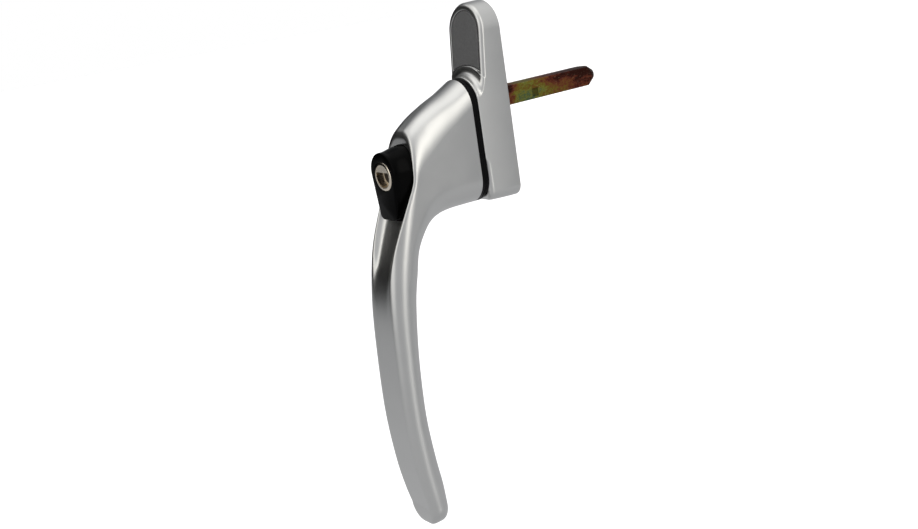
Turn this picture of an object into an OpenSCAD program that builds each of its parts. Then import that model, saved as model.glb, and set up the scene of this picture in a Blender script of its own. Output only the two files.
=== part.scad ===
// Window handle with a locking push button, on a seven millimetre square spindle.
// The origin is where the spindle's axis meets the window: +Y goes into the window,
// -Y comes out into the room, +Z is up and +X is to the right seen from the room.

/* [Base plate] */
// Width of the base plate against the window
base_w = 20; // [19:0.5:24]
// Height of the base plate
base_h = 70.4; // [68:0.4:76]
// Thickness from the window to the seat that the lever turns on
base_t = 13.5; // [13:0.5:16]
// Thickness at the top of the nose
nose_t = 7.4; // [7:0.2:9]
// Height below the spindle at which the sloping front meets the seat's level
slope_end = 19; // [16:1:24]
// How much narrower each side is at the front, so that the casting leaves its mould
base_draft = 0.4; // [0.2:0.1:0.8]
// Rounding of the casting's front edge
base_edge_r = 1.1; // [0.6:0.1:1.6]
// Rounding of the front edge below the seat
base_low_edge_r = 1.9; // [1.2:0.1:2.2]
// Rounding of the lower corners
base_corner_r = 4.5; // [3:0.5:6]
// How far the seat stands proud of the lower front face
seat_step = 0.3; // [0.2:0.1:0.6]
// Radius of the hollow sweep from the nose up to the seat's rim
cove_r = 3.2; // [2:0.2:3.4]
// Distance between the two fixing screws
screw_pitch = 43; // [42:0.5:46]
// Hole for a fixing screw
screw_d = 5.2; // [4.4:0.2:5.6]
// Counterbore for a fixing screw's head
screw_head_d = 8.8; // [8.4:0.2:9.4]
// Metal left under a screw's head
screw_floor = 4.4; // [4:0.2:5.4]
// Depth of the hollow in the back
core_depth = 3.2; // [2:0.2:3.6]
// Wall around the hollow in the back
core_wall = 2.2; // [1.8:0.2:3]

/* [Screw cover] */
// Width of the cover
cover_w = 15.2; // [14:0.2:16]
// Metal between the cover's top edge and the top of the nose
cover_edge = 2.8; // [2:0.2:4]
// Height of the cover's lower corners above the spindle
cover_low = 11.9; // [11.6:0.1:13]
// Radius of the hollow lower edge
cover_arc_r = 18; // [15:1:26]
// Thickness of the cover
cover_t = 1.5; // [1.2:0.1:1.8]
// Gap round the cover
cover_gap = 0.2; // [0.1:0.05:0.3]

/* [Lever] */
// Radius of the lever's rounded foot
foot_r = 9.6; // [9.2:0.1:10]
// Distance between the centres of the foot's two round ends
foot_len = 25; // [23:0.5:26]
// Thickness of the bearing plate under the foot
foot_t = 2.8; // [2.4:0.2:3.4]
// Distance from the spindle's axis down to the tip of the grip
lever_drop = 147; // [140:1:165]
// Distance from the window to the front of the grip
reach = 62; // [60:1:68]
// Thickness of the grip, front to back
grip_t = 9; // [8:0.5:10]
// Width of the grip
grip_w = 18.6; // [17.6:0.2:19.2]
// Rounding of the grip's front edges
grip_edge_r = 3.9; // [3:0.1:4.2]
// Length over which the tip is rounded off
tip_len = 8; // [7:0.5:9]
// Depth of the hollow cast into the neck behind the bearing plate
neck_core = 14; // [8:1:15]

/* [Scoop and button] */
// Radius of the scoop in front of the neck
scoop_r = 11; // [10.4:0.2:12]
// Distance from the window to the floor of the scoop
scoop_floor = 42; // [41:0.5:43]
// Slope of the scoop's lower part
scoop_tilt = 26.6; // [24:0.2:29]
// Depth below the spindle at which the scoop starts to slope
scoop_bend = 18; // [16:0.5:20]
// Distance from the window to the button's face
button_face = 51.2; // [50.6:0.2:52]
// Radius of the button's round upper end, at its back
button_r = 8; // [7.8:0.1:8.2]
// Height of the upper end's centre above the lock's axis
button_rise = 1.3; // [1:0.1:1.6]
// Radius of the button's two lower corners, at its back
button_corner_r = 2.9; // [2.7:0.1:3.2]
// Distance from the middle to the centre of each lower corner
button_corner_x = 2.9; // [2.6:0.1:3.2]
// Height from the lower corners' centres to the upper end's centre
button_len = 14.3; // [14:0.1:14.8]
// How far the button draws in from its back to its front
button_flare = 0.9; // [0.6:0.1:1]
// Length of the button
button_depth = 14; // [13:0.5:15]
// Travel of the button
button_travel = 3; // [2.4:0.1:3]
// Gap round the button
button_gap = 0.2; // [0.15:0.05:0.3]

/* [Lock] */
// Depth of the lock's axis below the spindle
lock_drop = 17.5; // [17:0.1:18]
// Radius of the lock's barrel
barrel_r = 5.15; // [4.95:0.05:5.2]
// Radius of the turning plug
plug_r = 3.05; // [2.9:0.05:3.2]
// Width of the key slot
keyway_w = 1.2; // [1:0.1:1.4]
// Number of wafers
wafer_count = 4; // [2:1:5]
// Distance from the lock's axis down to the bolt
bolt_offset = 11; // [10.6:0.1:11.4]
// Radius of the bolt
bolt_r = 1.5; // [1.3:0.1:1.6]
// Wire of the springs round the bolt
spring_wire = 0.5; // [0.4:0.05:0.6]

/* [Spindle and bearing] */
// Width across the spindle's flats
spindle_w = 7; // [7:0.5:8]
// Length of the spindle that stands out behind the base plate
spindle_out = 48; // [30:1:70]
// Length of the spindle inside the lever's neck
spindle_in = 25.5; // [20:0.5:28]
// Radius of the lever's journal
journal_r = 6.5; // [6.5:0.1:6.8]
// Radial clearance of the journal in the base plate
journal_gap = 0.05; // [0.03:0.01:0.08]
// Radius of the pin through the spindle
pin_r = 1.2; // [1:0.1:1.4]
// Radius of a detent ball
ball_r = 1.5; // [1.3:0.1:1.6]

/* [Hidden] */
$fn = 64;

// Overlap used where one shape is joined to or cut from another
eps = 0.05;
// Gap between flat faces that slide on each other
run_gap = 0.05;
// Play between small parts that fit together
fit_gap = 0.05;

base_top = base_h / 2;
base_low = -base_h / 2;
arch_z = base_top - base_w / 2;
front_slope = (base_t - seat_step - nose_t) / (base_top + slope_end);
slope_angle = atan(front_slope);
// Half width of the casting at a distance from the window
function half_at(y) = base_w / 2 - base_draft * y / base_t;
// Distance from the window to the sloping front at a height
function nose_at(z) = nose_t + front_slope * (base_top - z);

screw_z = screw_pitch / 2;
rim_r = 10.1;
rim_round = rim_r - foot_r;
cover_recess = cover_t + cover_gap + 0.2;
cover_top = base_top - cover_edge;

recess_r = 8.6;
recess_depth = 4.2;
washer_r = recess_r - 0.4;
washer_t = 0.8;
wave_t = 0.3;
wave_h = 0.2;
ring_t = 1;
ring_y = 1.45;
groove_r = journal_r - 0.65;
journal_end = 0.6;
detent_y = recess_depth + ball_r + 0.8;
detent_depth = 0.4;
detent_end = 12.6;
detent_wire = 0.35;
pin_y = detent_y + ball_r + pin_r + 1.6;

foot_y = base_t + run_gap;
lever_y = foot_y + foot_t;
foot_z = -foot_len;
peg_r = 1.2;
peg_x = 7;
peg_z = -14;
peg_len = 2.6;

bolt_z = -lock_drop - bolt_offset;
bolt_tip = base_t + 0.4;
clip_t = 0.7;
clip_seat = lever_y + button_travel + clip_t + 0.35;
spring_seat = clip_seat + 3.6;
button_back = button_face - button_depth;
button_z = button_rise - lock_drop;
pocket_floor = button_back - button_travel - 0.3;
bolt_head = button_back + 5.4;
spring_bore_r = 3.1;
barrel_back = button_back + 3;
mouth_depth = 1.4;
plug_front = button_face - mouth_depth;
tail_w = 2.6;
cam_t = 1.2;

// Shapes along the spindle's axis: y counts outwards from the window
module rod(y0, y1, r, x = 0, z = 0) {
    translate([x, -y0, z]) rotate([90, 0, 0]) cylinder(h = y1 - y0, r = r);
}

module slab(y0, y1) {
    translate([0, -y0, 0]) rotate([90, 0, 0]) linear_extrude(y1 - y0) children();
}

// A body through rings of points, each ring with as many points as the others. A ring that
// starts at its top and mirrors left to right can have a bent last face, closed in strips.
module loft(rings, strips = false) {
    n = len(rings[0]);
    m = len(rings);
    last = (m - 1) * n;
    half = (n - 1) / 2;
    sides = [for (i = [0 : m - 2], j = [0 : n - 1])
        let (a = i * n + j, b = i * n + (j + 1) % n)
        each [[a, b + n, b], [a, a + n, b + n]]];
    polyhedron([for (r = rings) each r],
        concat([[for (j = [0 : n - 1]) j]], sides,
            strips ? concat([[last + n - 1, last + 1, last]],
                [for (j = [1 : half - 1]) [last + n - j, last + n - j - 1, last + j + 1, last + j]])
            : [[for (j = [n - 1 : -1 : 0]) last + j]]));
}

// Points of an arc, both ends included
function arc(x, z, r, a0, a1, steps) =
    [for (i = [0 : steps]) let (a = a0 + (a1 - a0) * i / steps) [x + r * cos(a), z + r * sin(a)]];

// Direction in which a large circle's straight side to a smaller one, x across and length down, lies
function side_angle(r0, r1, x, length) = acos((r0 - r1) / norm([x, length])) - atan2(length, x);

// A round upper end, two round lower corners and the straight sides that touch them
module shield_2d(r0, r1, x, length, z) {
    a = side_angle(r0, r1, x, length);
    low = z - length;
    translate([0, z]) circle(r0);
    for (s = [-1, 1]) translate([s * x, low]) circle(r1);
    polygon([[r0 * cos(a), z + r0 * sin(a)], [x + r1 * cos(a), low + r1 * sin(a)], [x, low - r1],
        [-x, low - r1], [-x - r1 * cos(a), low + r1 * sin(a)], [-r0 * cos(a), z + r0 * sin(a)]]);
}

function shield_outline(r0, r1, x, length, z, steps) =
    let (a = side_angle(r0, r1, x, length), low = z - length, few = round(steps / 3))
    concat(arc(0, z, r0, a, 180 - a, steps), arc(-x, low, r1, 180 - a, 270, few),
        arc(x, low, r1, 270, 360 + a, few));

// A coil of round wire from one height to another, as a six-sided tube
module coil(radius, wire, turns, length, steps = 10) {
    rise = length - wire;
    rings = [for (i = [0 : turns * steps])
        let (a = 360 * i / steps, z = wire / 2 + rise * i / (turns * steps))
        [for (j = [0 : 5]) let (r = radius + wire / 2 * cos(60 * j))
            [r * cos(a), r * sin(a), z - wire / 2 * sin(60 * j)]]];
    loft(rings);
}

// Heights at which the casting's sides change, beside the seat and below it
side_heights = [9.5, 4.5, 2.5, 0.5 - slope_end, -3.5 - slope_end];

// Outline of the base plate, drawn in by an inset, from the top round by the left side
function base_outline(inset) = let (r = base_w / 2, c = base_corner_r) concat(
    arc(0, arch_z, r - inset, 90, 180, 12),
    [for (z = side_heights) [inset - r, z]],
    arc(c - r, base_low + c, c - inset, 180, 270, 6),
    arc(r - c, base_low + c, c - inset, 270, 360, 6),
    [for (i = [len(side_heights) - 1 : -1 : 0]) [r - inset, side_heights[i]]],
    [for (i = [0 : 11]) let (a = 90 * i / 12) [(r - inset) * cos(a), arch_z + (r - inset) * sin(a)]]);

// The casting's front and the rounding of its edge at a height: beside the seat it is filled up
function front_at(z) = z > 3 ? nose_at(z) : base_t - seat_step;
function edge_at(z) = lookup(z, [[side_heights[4], base_low_edge_r], [side_heights[3], seat_step],
    [side_heights[2], seat_step], [side_heights[0], base_edge_r]]);

// One ring of the casting's rounded front edge
function base_ring(a) = let (plan = base_outline(0))
    [for (k = [0 : len(plan) - 1]) let (r = edge_at(plan[k][1]),
            p = base_outline(base_draft + r * (1 - cos(a)))[k])
        [p[0], r * (1 - sin(a)) - front_at(plan[k][1]), p[1]]];

base_rings = concat(
    [[for (p = base_outline(0)) [p[0], 0, p[1]]]],
    [for (i = [0 : 4]) base_ring(90 * i / 4)]);

// The seat: a round rim with a hollow sweep up to it, carried down to the lower end as a flat
seat_half = half_at(base_t) - eps;
module seat() {
    back = core_depth + 2;
    rim = base_t - rim_round;
    intersection() {
        rotate([90, 0, 0]) rotate_extrude() polygon(concat(
            [[0, back], [rim_r + cove_r, back]],
            [for (i = [0 : 6]) let (a = 90 - 15 * i)
                [rim_r + cove_r * (1 - cos(a)), rim - cove_r * sin(a)]],
            [for (i = [1 : 3]) let (a = 30 * i)
                [rim_r - rim_round * (1 - cos(a)), rim + rim_round * sin(a)]],
            [[0, base_t]]));
        translate([-seat_half, -base_t - 1, -base_h]) cube([2 * seat_half, base_t, 2 * base_h]);
    }
    slab(back, base_t) {
        translate([0, foot_z]) circle(seat_half);
        translate([-seat_half, foot_z]) square([2 * seat_half, foot_len]);
    }
}

// Puts a flat shape on the sloping front of the nose: its z then stands out of the face
module on_nose(depth = 0) {
    translate([0, -nose_at(0), 0]) rotate([90 - slope_angle, 0, 0]) translate([0, 0, -depth]) children();
}

// Distance along the slope for a height
function along(z) = z / cos(slope_angle);

module cover_2d(gap) {
    r = cover_w / 2;
    low = along(cover_low);
    top = along(cover_top) - r;
    drop = cover_arc_r - sqrt(cover_arc_r * cover_arc_r - r * r);
    difference() {
        union() {
            translate([0, top]) circle(r + gap);
            translate([-r - gap, low - gap]) square([2 * r + 2 * gap, top - low + gap]);
        }
        translate([0, low + drop - cover_arc_r]) circle(cover_arc_r - gap);
    }
}

module back_core_2d() {
    difference() {
        union() {
            translate([0, arch_z]) circle(base_w / 2 - core_wall);
            translate([core_wall - base_w / 2, base_low + core_wall])
                square([base_w - 2 * core_wall, arch_z - base_low - core_wall]);
        }
        circle(recess_r + core_wall);
        for (s = [-1, 1]) translate([0, s * screw_z]) circle(screw_head_d / 2 + 0.8);
        square([core_wall, base_h], center = true);
    }
}

module base_plate() {
    color([0.68, 0.68, 0.68])
    difference() {
        union() {
            loft(base_rings, strips = true);
            seat();
        }
        slab(-eps, core_depth) back_core_2d();
        rod(-eps, recess_depth, recess_r);
        rod(0, base_t + 1, journal_r + journal_gap);
        for (s = [-1, 1]) {
            rod(-eps, base_t + 1, screw_d / 2, z = s * screw_z);
            rod(s > 0 ? screw_floor : base_t - 5, base_t + 1, screw_head_d / 2, z = s * screw_z);
            translate([0, -detent_y, s > 0 ? 0 : -detent_end])
                cylinder(h = detent_end, r = ball_r + fit_gap);
        }
        rod(base_t - button_travel - 0.9, base_t + 1, bolt_r + 0.25, z = bolt_z);
        on_nose(cover_recess) linear_extrude(cover_recess + 1) cover_2d(cover_gap);
    }
}

module screw_cover() {
    stub = 2;
    depth = cover_t + 0.1;
    color([0.30, 0.31, 0.31]) {
        on_nose(depth) linear_extrude(cover_t) cover_2d(0);
        // The stub lies in the screw's counterbore, which runs square to the window
        on_nose(depth + stub) translate([0, along(screw_z) + (depth + stub / 2) * tan(slope_angle)])
            linear_extrude(stub + eps)
            difference() {
                circle(screw_head_d / 2 - cover_gap);
                circle(screw_head_d / 2 - cover_gap - 0.8);
                square([2, screw_head_d], center = true);
            }
    }
}

module washer(y0, t, r0, r1) {
    difference() {
        rod(y0, y0 + t, r1);
        rod(y0 - 1, y0 + t + 1, r0);
    }
}

module thrust_washer() {
    color([0.85, 0.85, 0.82])
    washer(recess_depth - run_gap - washer_t, washer_t, journal_r + 0.1, washer_r);
}

// A ring of spring steel pressed into four waves
module wave_washer() {
    steps = 48;
    r0 = journal_r + 0.15;
    y = (ring_y + ring_t + recess_depth - run_gap - washer_t) / 2;
    function ring(i) = let (a = 360 * i / steps, w = wave_h * cos(4 * a))
        [for (p = [[r0, -wave_t], [washer_r, -wave_t], [washer_r, wave_t], [r0, wave_t]])
            [p[0] * cos(a), -y + w + p[1] / 2, p[0] * sin(a)]];
    points = [for (i = [0 : steps - 1]) each ring(i)];
    faces = [for (i = [0 : steps - 1], j = [0 : 3])
        let (a = 4 * i + j, b = 4 * i + (j + 1) % 4, c = 4 * ((i + 1) % steps) + j,
            d = 4 * ((i + 1) % steps) + (j + 1) % 4)
        each [[a, c, d], [a, d, b]]];
    color([0.6, 0.6, 0.62]) polyhedron(points, faces);
}

module retaining_ring() {
    lug = [journal_r + 0.6, 2.1];
    color([0.35, 0.35, 0.37])
    slab(ring_y, ring_y + ring_t) difference() {
        union() {
            circle(washer_r - 0.6);
            for (s = [-1, 1]) translate([s * lug[1], -lug[0]]) circle(1.1);
        }
        circle(groove_r + fit_gap);
        for (s = [-1, 1]) translate([s * lug[1], -lug[0]]) circle(0.5);
        translate([-1, -washer_r - 2]) square([2, washer_r + 2]);
    }
}

module detent_balls() {
    color([0.75, 0.76, 0.78])
    for (s = [-1, 1]) translate([0, -detent_y, s * (journal_r + journal_gap + ball_r)]) sphere(ball_r);
}

module detent_springs() {
    start = journal_r + journal_gap + 2 * ball_r + 0.05;
    color([0.5, 0.5, 0.52])
    for (s = [0, 180]) rotate([0, s, 0]) translate([0, -detent_y, start])
        coil(ball_r - detent_wire / 2 - 0.15, detent_wire, 4, detent_end - start - 0.05);
}

module foot_2d(r) {
    circle(r);
    translate([0, foot_z]) circle(r);
    translate([-r, foot_z]) square([2 * r, foot_len]);
}

module foot_plate() {
    color([0.07, 0.07, 0.07])
    difference() {
        union() {
            slab(foot_y, foot_y + foot_t) foot_2d(foot_r);
            for (s = [-1, 1]) rod(foot_y + 1, lever_y + peg_len, peg_r, s * peg_x, peg_z);
        }
        rod(foot_y - 1, lever_y + eps, journal_r + 0.1);
        rod(foot_y - 1, lever_y + eps, bolt_r + 0.15, z = bolt_z);
    }
}

// The lever's outline seen from the side is held by sections from the foot to the tip.
// Each section: front y and z, back y and z, half width, front rounding, back rounding.
half_grip = grip_w / 2;
foot_top = foot_r;
foot_low = foot_z - foot_r;
grip_back = reach - grip_t;
sections = [
    [lever_y, foot_top, lever_y, foot_low, foot_r, foot_r, foot_r],
    [lever_y + 6.2, foot_top - 3.1, lever_y + 6.2, foot_low + 0.1, foot_r, foot_r - 0.5, foot_r - 0.1],
    [lever_y + 13.3, foot_top - 6.4, lever_y + 11.6, foot_low + 0.1,
        foot_r - 0.1, foot_r - 1.4, foot_r - 0.6],
    [lever_y + 20.5, foot_top - 10.6, lever_y + 17, foot_low - 0.5,
        foot_r - 0.2, foot_r - 2.4, foot_r - 1.6],
    [reach - 19, foot_top - 15.9, grip_back - 15, foot_low - 2.5,
        half_grip, grip_edge_r + 2.3, grip_edge_r + 3.1],
    [reach - 14.1, foot_top - 24.2, grip_back - 11, foot_low - 6.4,
        half_grip, grip_edge_r + 1.5, grip_edge_r + 2.1],
    [reach - 9.7, foot_low + 6.4, grip_back - 8, foot_low - 11.4,
        half_grip, grip_edge_r + 0.9, grip_edge_r + 1.3],
    [reach - 5.1, foot_low - 9.1, grip_back - 5.4, foot_low - 18.2,
        half_grip, grip_edge_r + 0.4, grip_edge_r + 0.8],
    [reach - 2, foot_low - 26.4, grip_back - 3.4, foot_low - 28.6,
        half_grip, grip_edge_r, grip_edge_r + 0.5],
    [reach - 0.6, -lever_drop + 65.5, grip_back - 1, -lever_drop + 65.1,
        half_grip, grip_edge_r, grip_edge_r + 0.4],
    [reach - 0.1, -lever_drop + 44.5, grip_back - 0.1, -lever_drop + 44.5,
        half_grip, grip_edge_r, grip_edge_r + 0.4],
    [reach - 1.3, -lever_drop + 26.5, grip_back - 1.2, -lever_drop + 28,
        half_grip - 0.1, grip_edge_r, grip_edge_r + 0.3],
    [reach - 3, -lever_drop + 15.5, grip_back - 2.6, -lever_drop + 17,
        half_grip - 0.4, grip_edge_r - 0.3, grip_edge_r],
    [reach - 4.6, -lever_drop + 8.2, grip_back - 3.2, -lever_drop + 8.6,
        half_grip - 1, grip_edge_r - 0.7, grip_edge_r - 0.7],
];

// A smooth curve through the sections, at a fraction between two of them
function between(a, b, c, d, f) = (2 * b + (c - a) * f + (2 * a - 5 * b + 4 * c - d) * f * f
    + (3 * b - a - 3 * c + d) * f * f * f) / 2;
function section_at(u) = let (last = len(sections) - 1, i = min(floor(u), last - 1), f = u - i,
    b = sections[i], c = sections[i + 1],
    a = i > 0 ? sections[i - 1] : 2 * b - c, d = i + 2 <= last ? sections[i + 2] : 2 * c - b)
    between(a, b, c, d, f);

// A section's ring: a rounded rectangle between its front and back points, drawn in by a scale
// and moved along the lever's run
function lever_ring(s, scale, thin, move, steps) =
    let (front = [-s[0], s[1]], back = [-s[2], s[3]], span = norm(front - back),
        n = (front - back) / span, centre = (front + back) / 2 - move * [n[1], -n[0]],
        h = span / 2 * thin, w = s[4] * scale, less = min(scale, thin),
        rf = min(s[5] * less, w - 0.01, h - 0.01),
        rb = min(s[6] * less, w - 0.01, 2 * h - rf - 0.01))
    [for (c = [[1, 1, rf, 0], [-1, 1, rf, 90], [-1, -1, rb, 180], [1, -1, rb, 270]], i = [0 : steps])
        let (a = c[3] + 90 * i / steps, x = c[0] * (w - c[2]) + c[2] * cos(a),
            t = c[1] * (h - c[2]) + c[2] * sin(a), p = centre + n * t)
        [x, p[0], p[1]]];

lever_steps = 3;
corner_steps = 5;
tip_steps = 6;
last_section = sections[len(sections) - 1];
lever_rings = concat(
    [for (i = [0 : (len(sections) - 1) * lever_steps])
        lever_ring(section_at(i / lever_steps), 1, 1, 0, corner_steps)],
    [for (i = [1 : tip_steps]) let (a = 86 * i / tip_steps)
        lever_ring(last_section, cos(a), sqrt(cos(a)), tip_len * sin(a), corner_steps)]);

// The scoop is a round channel that runs down the front of the neck and out of the grip's face
module scoop() {
    axis_y = scoop_floor + scoop_r;
    translate([0, -axis_y, -scoop_bend]) {
        cylinder(h = 40, r = scoop_r);
        sphere(scoop_r);
        rotate([180 - scoop_tilt, 0, 0]) cylinder(h = 50, r = scoop_r);
    }
}

module lever() {
    color([0.70, 0.70, 0.69])
    difference() {
        union() {
            loft(lever_rings);
            rod(journal_end, lever_y + 4, journal_r);
        }
        scoop();
        slab(pocket_floor, button_face) shield_2d(button_r + button_gap, button_corner_r + button_gap,
            button_corner_x, button_len, button_z);
        rod(lever_y - eps, pocket_floor + eps, bolt_r + 0.1, z = bolt_z);
        rod(spring_seat, pocket_floor + eps, spring_bore_r, z = bolt_z);
        rod(lever_y - eps, clip_seat, spring_bore_r + 0.3, z = bolt_z);
        slab(journal_end - eps, spindle_in + 0.3) square(spindle_w + 2 * fit_gap, center = true);
        slab(lever_y - eps, lever_y + neck_core) translate([0, -15.5]) square([9, 11], center = true);
        washer(ring_y - fit_gap, ring_t + 2 * fit_gap, groove_r, journal_r + 1);
        for (s = [-1, 1]) rod(lever_y - eps, lever_y + peg_len + 0.3, peg_r + fit_gap, s * peg_x, peg_z);
        translate([-journal_r - 1, -pin_y, 0]) rotate([0, 90, 0])
            cylinder(h = 2 * journal_r + 2, r = pin_r + fit_gap);
        for (a = [0, 90, 180, 270]) rotate([0, a, 0])
            translate([0, -detent_y, journal_r + ball_r - detent_depth]) sphere(ball_r);
    }
}

module spindle_2d(w) {
    r = 0.5;
    square([w, w - 2 * r], center = true);
    square([w - 2 * r, w], center = true);
    for (x = [-1, 1], z = [-1, 1]) translate([x, z] * (w / 2 - r)) circle(r, $fn = 24);
}

module spindle() {
    tip = 2.8;
    color([0.50, 0.44, 0.24])
    difference() {
        union() {
            slab(-spindle_out + tip, spindle_in) spindle_2d(spindle_w);
            translate([0, spindle_out - tip - eps, 0]) rotate([-90, 0, 0])
                linear_extrude(tip + eps, scale = 0.5) spindle_2d(spindle_w);
        }
        translate([-spindle_w, -pin_y, 0]) rotate([0, 90, 0])
            cylinder(h = 2 * spindle_w, r = pin_r + fit_gap);
        translate([spindle_w / 2 - 0.3, 14, -2.6]) cube([1, 3.6, 2.6]);
    }
}

module spindle_pin() {
    half = journal_r - 0.4;
    color([0.4, 0.4, 0.42])
    difference() {
        translate([-half, -pin_y, 0]) rotate([0, 90, 0]) cylinder(h = 2 * half, r = pin_r);
        translate([-half - 1, -pin_y, 0]) rotate([0, 90, 0]) cylinder(h = 2 * half + 2, r = pin_r * 0.55);
        translate([-half - 1, -pin_y - 0.2, 0]) cube([2 * half + 2, 0.4, 2]);
    }
}

// Distance from the button's back, and how far it has drawn in there as a share of the flare
button_profile = [
    [0, 0.4], [0.4, 0], [6, 0], [7.4, 0.1], [8.7, 0.34], [10, 0.66], [11.3, 0.92], [12.4, 1.04],
    [13.2, 1], [13.65, 1.08], [13.9, 1.24], [14, 1.5]];

module push_button() {
    rings = [for (p = button_profile)
        let (y = button_back + p[0] * button_depth / 14, d = p[1] * button_flare)
        [for (q = shield_outline(button_r - d, button_corner_r - 0.55 * d, button_corner_x, button_len,
            button_z, 24))
            [q[0], -y, q[1]]]];
    color([0.06, 0.06, 0.06])
    difference() {
        loft(rings);
        rod(barrel_back, button_face + 1, barrel_r + fit_gap, z = -lock_drop);
        rod(button_back - 1, barrel_back + eps, barrel_r + 0.45, z = -lock_drop);
        rod(button_back - 1, bolt_head, bolt_r + fit_gap, z = bolt_z);
    }
}

module button_spring() {
    radius = bolt_r + spring_wire / 2 + 0.4;
    color([0.6, 0.6, 0.62])
    translate([0, -spring_seat - 0.05, bolt_z]) rotate([90, 0, 0])
        coil(radius, spring_wire, 7, button_back - spring_seat - 0.1);
}

module lock_bolt() {
    tip = 0.4;
    color([0.62, 0.62, 0.64])
    difference() {
        union() {
            rod(bolt_tip + tip, bolt_head - 0.1, bolt_r, z = bolt_z);
            translate([0, -bolt_tip - tip, bolt_z]) rotate([-90, 0, 0])
                cylinder(h = tip, r1 = bolt_r, r2 = bolt_r - tip);
        }
        translate([0, 0, bolt_z]) washer(clip_seat - fit_gap - clip_t - fit_gap, clip_t + 2 * fit_gap,
            bolt_r - 0.4, bolt_r + 1);
    }
}

module bolt_clip() {
    color([0.35, 0.35, 0.37])
    slab(clip_seat - fit_gap - clip_t, clip_seat - fit_gap) translate([0, bolt_z]) difference() {
        circle(bolt_r + 1.4);
        circle(bolt_r - 0.4 + fit_gap);
        translate([-0.9, -bolt_r - 2]) square([1.8, bolt_r + 2]);
    }
}

module lock_barrel() {
    mouth_r = plug_r - 0.05;
    mouth_z = -lock_drop - 0.3;
    flat = 2.3;
    color([0.78, 0.76, 0.71])
    difference() {
        rod(barrel_back + 0.05, button_face + 0.1, barrel_r, z = -lock_drop);
        rod(barrel_back - 1, plug_front + 0.05, plug_r + fit_gap, z = -lock_drop);
        rod(button_face - 0.25, button_face + 1, plug_r + 0.55, z = -lock_drop);
        intersection() {
            rod(plug_front - 1, button_face + 1, mouth_r, z = mouth_z);
            translate([-10, -button_face - 1, mouth_z - 10]) cube([20, button_face, 10 + flat]);
        }
    }
}

wafer_w = 3.5;
wafer_h = 4.8;
wafer_t = 0.5;
wafer_first = barrel_back + 1.6;
wafer_step = (plug_front - 2.2 - wafer_first) / max(1, wafer_count - 1);

// A box on the lock's axis
module lock_box(y0, y1, w, h) {
    translate([-w / 2, -y1, -lock_drop - h / 2]) cube([w, y1 - y0, h]);
}

module lock_plug() {
    color([0.66, 0.64, 0.58])
    difference() {
        union() {
            rod(barrel_back, plug_front, plug_r, z = -lock_drop);
            lock_box(button_back + 0.6, barrel_back + eps, tail_w, tail_w);
        }
        lock_box(barrel_back + 0.8, plug_front + 1, keyway_w, 2 * plug_r - 1.5);
        for (i = [0 : wafer_count - 1]) let (y = wafer_first + i * wafer_step)
            lock_box(y - fit_gap, y + wafer_t + fit_gap, wafer_w + 2 * fit_gap, wafer_h + 2 * fit_gap);
    }
}

module wafers() {
    color([0.72, 0.60, 0.32])
    for (i = [0 : wafer_count - 1]) let (y = wafer_first + i * wafer_step) difference() {
        lock_box(y, y + wafer_t, wafer_w, wafer_h);
        lock_box(y - 1, y + wafer_t + 1, keyway_w + 0.6, wafer_h - 2);
    }
}

module lock_cam() {
    color([0.62, 0.62, 0.64])
    slab(barrel_back - 0.05 - cam_t, barrel_back - 0.05) translate([0, -lock_drop]) difference() {
        union() {
            circle(tail_w / 2 + 1.3);
            translate([0, 1.3 - barrel_r]) circle(1.2);
            translate([-1, 1.3 - barrel_r]) square([2, barrel_r - 1.3]);
        }
        square(tail_w + 2 * fit_gap, center = true);
    }
}

module cam_clip() {
    y1 = barrel_back - 0.1 - cam_t;
    color([0.35, 0.35, 0.37])
    slab(y1 - 0.5, y1) translate([0, -lock_drop]) difference() {
        circle(tail_w / 2 + 1);
        square(tail_w + fit_gap, center = true);
    }
}

base_plate();
screw_cover();
thrust_washer();
wave_washer();
retaining_ring();
detent_balls();
detent_springs();
foot_plate();
lever();
spindle();
spindle_pin();
push_button();
button_spring();
lock_bolt();
bolt_clip();
lock_barrel();
lock_plug();
wafers();
lock_cam();
cam_clip();
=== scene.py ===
"""Dresses a locking window handle: base plate, lever, push button, key barrel and spindle.

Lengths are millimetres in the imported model's frame until a mesh is made, then metres. The room is
towards -Y, the window towards +Y, and depth counts outwards from the window, so depth is -Y.
"""

from __future__ import annotations

import logging
import math
from dataclasses import dataclass, field
from enum import Enum
from itertools import product
from typing import Any, Callable, Sequence

import bpy
import numpy as np
from mathutils import Matrix, Vector

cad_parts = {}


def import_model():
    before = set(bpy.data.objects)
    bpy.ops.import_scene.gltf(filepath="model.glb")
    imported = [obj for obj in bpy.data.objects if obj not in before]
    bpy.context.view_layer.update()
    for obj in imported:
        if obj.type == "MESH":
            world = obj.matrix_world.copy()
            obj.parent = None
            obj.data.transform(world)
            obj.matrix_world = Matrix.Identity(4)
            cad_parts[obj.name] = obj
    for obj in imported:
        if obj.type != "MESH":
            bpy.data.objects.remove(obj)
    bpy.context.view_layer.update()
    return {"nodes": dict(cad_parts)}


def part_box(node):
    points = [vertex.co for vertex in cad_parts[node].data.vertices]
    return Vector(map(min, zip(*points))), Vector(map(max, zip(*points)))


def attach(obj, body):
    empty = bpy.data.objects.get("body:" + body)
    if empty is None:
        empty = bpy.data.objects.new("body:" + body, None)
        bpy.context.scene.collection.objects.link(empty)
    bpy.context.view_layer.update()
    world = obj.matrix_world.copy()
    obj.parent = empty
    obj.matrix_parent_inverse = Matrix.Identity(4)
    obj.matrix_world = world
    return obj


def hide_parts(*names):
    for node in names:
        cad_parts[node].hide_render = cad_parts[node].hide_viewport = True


LOG = logging.getLogger("window_handle")
MM = 0.001
# Heights of the axes that several pieces share: the lock with its barrel, and the bolt
LOCK_Z = -17.5
BOLT_Z = -28.5
# A wave texture of scale one repeats after this length in metres
WAVE_STEP = 0.314
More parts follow.
